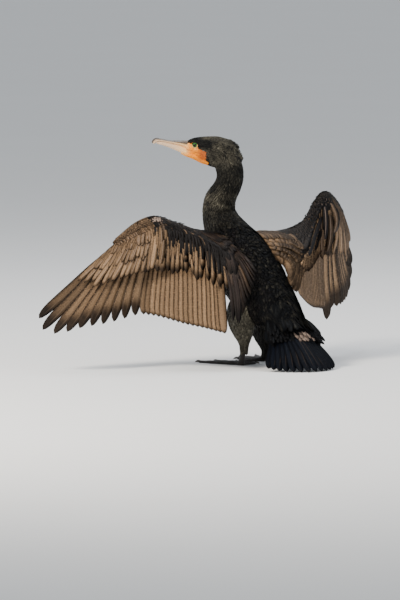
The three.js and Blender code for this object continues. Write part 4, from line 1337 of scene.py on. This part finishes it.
class CORMORANT_OT_feet(CormorantMaker, bpy.types.Operator):
    """Shanks, toes, webs and claws"""

    bl_idname = "cormorant.feet"
    bl_label = "Feet"

    def execute(self, context):
        scutes = leg_finish("leg_scutes", 420, 0.8)
        web_finish = leg_finish("web_skin", 900, 0.5)
        claw_finish = horn_finish("claw_horn", shade("leg") * 2, shade("leg") * 0.4, 0.1)
        for name, leg in LEGS.items():
            side = leg["side"]
            x, y = leg["foot"]
            part = "thigh_" + name
            shank = Tube(
                [[x, y - ANKLE_SETBACK + 0.5, leg["ankle"] - 12], [x, y - 7, 22], [x, y - 2, 7]],
                [[5.4, 8], [4.6, 6.8], [5.2, 7]])
            add_piece("shank_" + name, tube_shell(shank, 40, 24, UNCOLOURED, part), scutes,
                      [f"leg_{name}_tarsus"])
            toes = []
            claws = []
            for toe, (reach, angle) in TOES.items():
                way = np.array([side * np.sin(np.radians(angle)), np.cos(np.radians(angle)), 0])
                t = np.linspace(0, 1, 5)
                thick = 5.8 * (1 - 0.45 * t)
                places = np.array([x, y, 0]) + way * (reach * t)[:, None]
                places[:, 2] = thick * 0.72
                tube = Tube(places, np.column_stack([thick, thick * 0.8]), (way[1], -way[0], 0))
                joints = TOE_JOINTS[toe]

                def knuckles(t, turn, joints=joints):
                    return 1 + 0.07 * np.cos(TAU * joints * t) - 0.03

                toes.append(above_floor(tube_shell(tube, 60, 20, UNCOLOURED, part, shape=knuckles)))
                start = np.array([x, y, 0]) + way * (reach + 0.6)
                spots = start + way * CLAW_RUN[:, None]
                spots[:, 2] = CLAW_HEIGHTS
                sizes = np.column_stack([CLAW_SIZES * 0.85, CLAW_SIZES])
                claw = Tube(spots, sizes, (way[1], -way[0], 0))
                claws.append(above_floor(tube_shell(claw, 24, 16, UNCOLOURED, part)))
            rows, around = 20, 24
            polar = np.linspace(0.02, 0.98, rows)[:, None] * np.pi * np.ones(around)
            turn = turn_grid(rows, around)
            ring = np.sin(polar)
            ball = [ring * np.cos(turn) * 0.9, ring * np.sin(turn), np.cos(polar) * 0.8]
            ball = np.stack(ball, -1)
            ball = np.array([x, y, BALL_HEIGHT]) + ball * BALL_RADIUS
            ball[..., 2] = np.maximum(ball[..., 2], 0)
            uv = np.stack([turn / TAU, polar / np.pi], -1)
            bake = map_place(part, uv[..., 0], uv[..., 1])
            faces = ring_faces(rows, around)[:, ::-1]
            toes.append(Shell(ball, faces, uv, bake, np.zeros((rows, around, 4))))
            add_piece("toes_" + name, joined(toes), scutes, [f"leg_{name}_foot"])
            add_piece("claws_" + name, joined(claws), claw_finish,
                      [f"leg_{name}_claw_{toe}" for toe in TOES])
            webs = []
            order = list(TOES.values())
            for (r0, a0), (r1, a1) in zip(order[:-1], order[1:]):
                webs.append(self.web(x, y, side, r0, a0, r1, a1, part))
            add_piece("webs_" + name, joined(webs), web_finish)
        return {"FINISHED"}

    def web(self, x, y, side, r0, a0, r1, a1, part):
        """A thin closed sheet between two toes.

        At share w from toe to toe its edge reaches r0 + (r1 - r0) w, less a bay of 4w(1 - w) times
        a share of the mean reach, and it rises by fine radial pleats.
        """
        rows, across = 26, 30
        w = np.linspace(0, 1, across)[None, :] * np.ones((rows, 1))
        t = np.linspace(0.02, 1, rows)[:, None] * np.ones(across)
        bay = 0.38 if a0 < -60 else 0.14
        edge = 0.93 * (r0 + (r1 - r0) * w) * (1 - bay * 4 * w * (1 - w))
        angle = np.radians(a0 + (a1 - a0) * w)
        pleat = 0.35 * np.sin(9 * np.pi * w) * t
        px = x + side * np.sin(angle) * edge * t
        py = y + np.cos(angle) * edge * t
        top = np.stack([px, py, 1.6 + pleat + 0.8 * (1 - t)], -1)
        low = np.stack([px, py, 0.3 + 0 * t], -1)
        ring = np.concatenate([top, low[:, ::-1]], 1)
        uv = np.concatenate([np.stack([w, t], -1), np.stack([w, t], -1)[:, ::-1]], 1)
        faces = ring_faces(rows, 2 * across)
        if side > 0:
            faces = faces[:, ::-1]
        bake = map_place(part, uv[..., 0], uv[..., 1])
        return Shell(ring, faces, uv, bake, np.zeros(ring.shape[:2] + (4,)))


class CORMORANT_OT_stage(CormorantMaker, bpy.types.Operator):
    """Floor, lights and camera"""

    bl_idname = "cormorant.stage"
    bl_label = "Stage"

    def execute(self, context):
        scene = context.scene
        mesh = bpy.data.meshes.new("floor")
        size = FLOOR_REACH
        corners = [(-size, -size, 0), (size, -size, 0), (size, size, 0), (-size, size, 0)]
        mesh.from_pydata(corners, [], [(0, 1, 2, 3)])
        mesh.materials.append(floor_finish())
        floor = bpy.data.objects.new("floor", mesh)
        floor.location.z = -FLOOR_DROP
        scene.collection.objects.link(floor)
        world = bpy.data.worlds.new("sky")
        world.use_nodes = True
        world.node_tree.nodes["Background"].inputs[0].default_value = (0.9, 0.95, 1.0, 1.0)
        world.node_tree.nodes["Background"].inputs[1].default_value = 0.6
        scene.world = world
        away = np.array([0.53, 0.848, 0])
        left = np.array([-0.848, 0.53, 0])
        middle = np.array([0.0, 0.05, 0.2])
        lamps = {
            "key": (-away * 1.9 + left * 1.7 + UPWARD * 1.9, 0.8, 135, (1.0, 0.93, 0.82)),
            "fill": (-away * 2.2 - left * 2.4 + UPWARD * 1.0, 2.4, 22, (0.9, 0.95, 1.0)),
            "top": (away * 1.2 - left * 0.4 + UPWARD * 2.6, 1.6, 50, (0.97, 0.98, 1.0)),
        }
        for name, (offset, width, power, colour) in lamps.items():
            lamp = bpy.data.lights.new(name, "AREA")
            lamp.size = width
            lamp.energy = power
            lamp.color = colour
            thing = bpy.data.objects.new(name, lamp)
            thing.location = Vector(middle + offset)
            thing.rotation_euler = Vector(-offset).to_track_quat("-Z", "Y").to_euler()
            scene.collection.objects.link(thing)
        self.camera(scene)
        return {"FINISHED"}

    def camera(self, scene):
        """A camera turned CAMERA_TURN degrees round from behind and raised by CAMERA_RISE degrees."""
        target = (np.array(CAMERA_TARGET) + SHIFT) / METRE
        azimuth, height = np.radians(CAMERA_TURN), np.radians(CAMERA_RISE)
        back = np.array([
            np.sin(azimuth) * np.cos(height), -np.cos(azimuth) * np.cos(height), np.sin(height)])
        data = bpy.data.cameras.new("camera")
        data.sensor_width = SENSOR_WIDTH
        data.lens = SENSOR_WIDTH / FRAME_SPAN * CAMERA_DISTANCE
        data.clip_start = 0.5
        data.clip_end = 200
        camera = bpy.data.objects.new("camera", data)
        camera.location = Vector(target + back * CAMERA_DISTANCE)
        camera.rotation_euler = Vector(-back).to_track_quat("-Z", "Y").to_euler()
        scene.collection.objects.link(camera)
        scene.camera = camera


class CORMORANT_PT_panel(bpy.types.Panel):
    bl_label = "Cormorant"
    bl_space_type = "VIEW_3D"
    bl_region_type = "UI"
    bl_category = "Cormorant"

    def draw(self, context):
        for maker in MAKERS:
            self.layout.operator(maker.bl_idname)
        for group in (context.scene.cormorant_sizes, context.scene.cormorant_looks):
            for key in group.bl_rna.properties.keys():
                if key not in ("rna_type", "name"):
                    self.layout.prop(group, key)


MAKERS = (
    CORMORANT_OT_stage,
    CORMORANT_OT_skin,
    CORMORANT_OT_body_coat,
    CORMORANT_OT_wings,
    CORMORANT_OT_tail,
    CORMORANT_OT_bill,
    CORMORANT_OT_eyes,
    CORMORANT_OT_feet,
)
CLASSES = (CormorantSizes, CormorantLooks, *MAKERS, CORMORANT_PT_panel)


def register():
    for kind in CLASSES:
        bpy.utils.register_class(kind)
    bpy.types.Scene.cormorant_sizes = bpy.props.PointerProperty(type=CormorantSizes)
    bpy.types.Scene.cormorant_looks = bpy.props.PointerProperty(type=CormorantLooks)


def unregister():
    del bpy.types.Scene.cormorant_looks
    del bpy.types.Scene.cormorant_sizes
    for kind in reversed(CLASSES):
        bpy.utils.unregister_class(kind)


def main():
    register()
    for maker in MAKERS:
        group, name = maker.bl_idname.split(".")
        getattr(getattr(bpy.ops, group), name)()


if __name__ == "__main__":
    main()
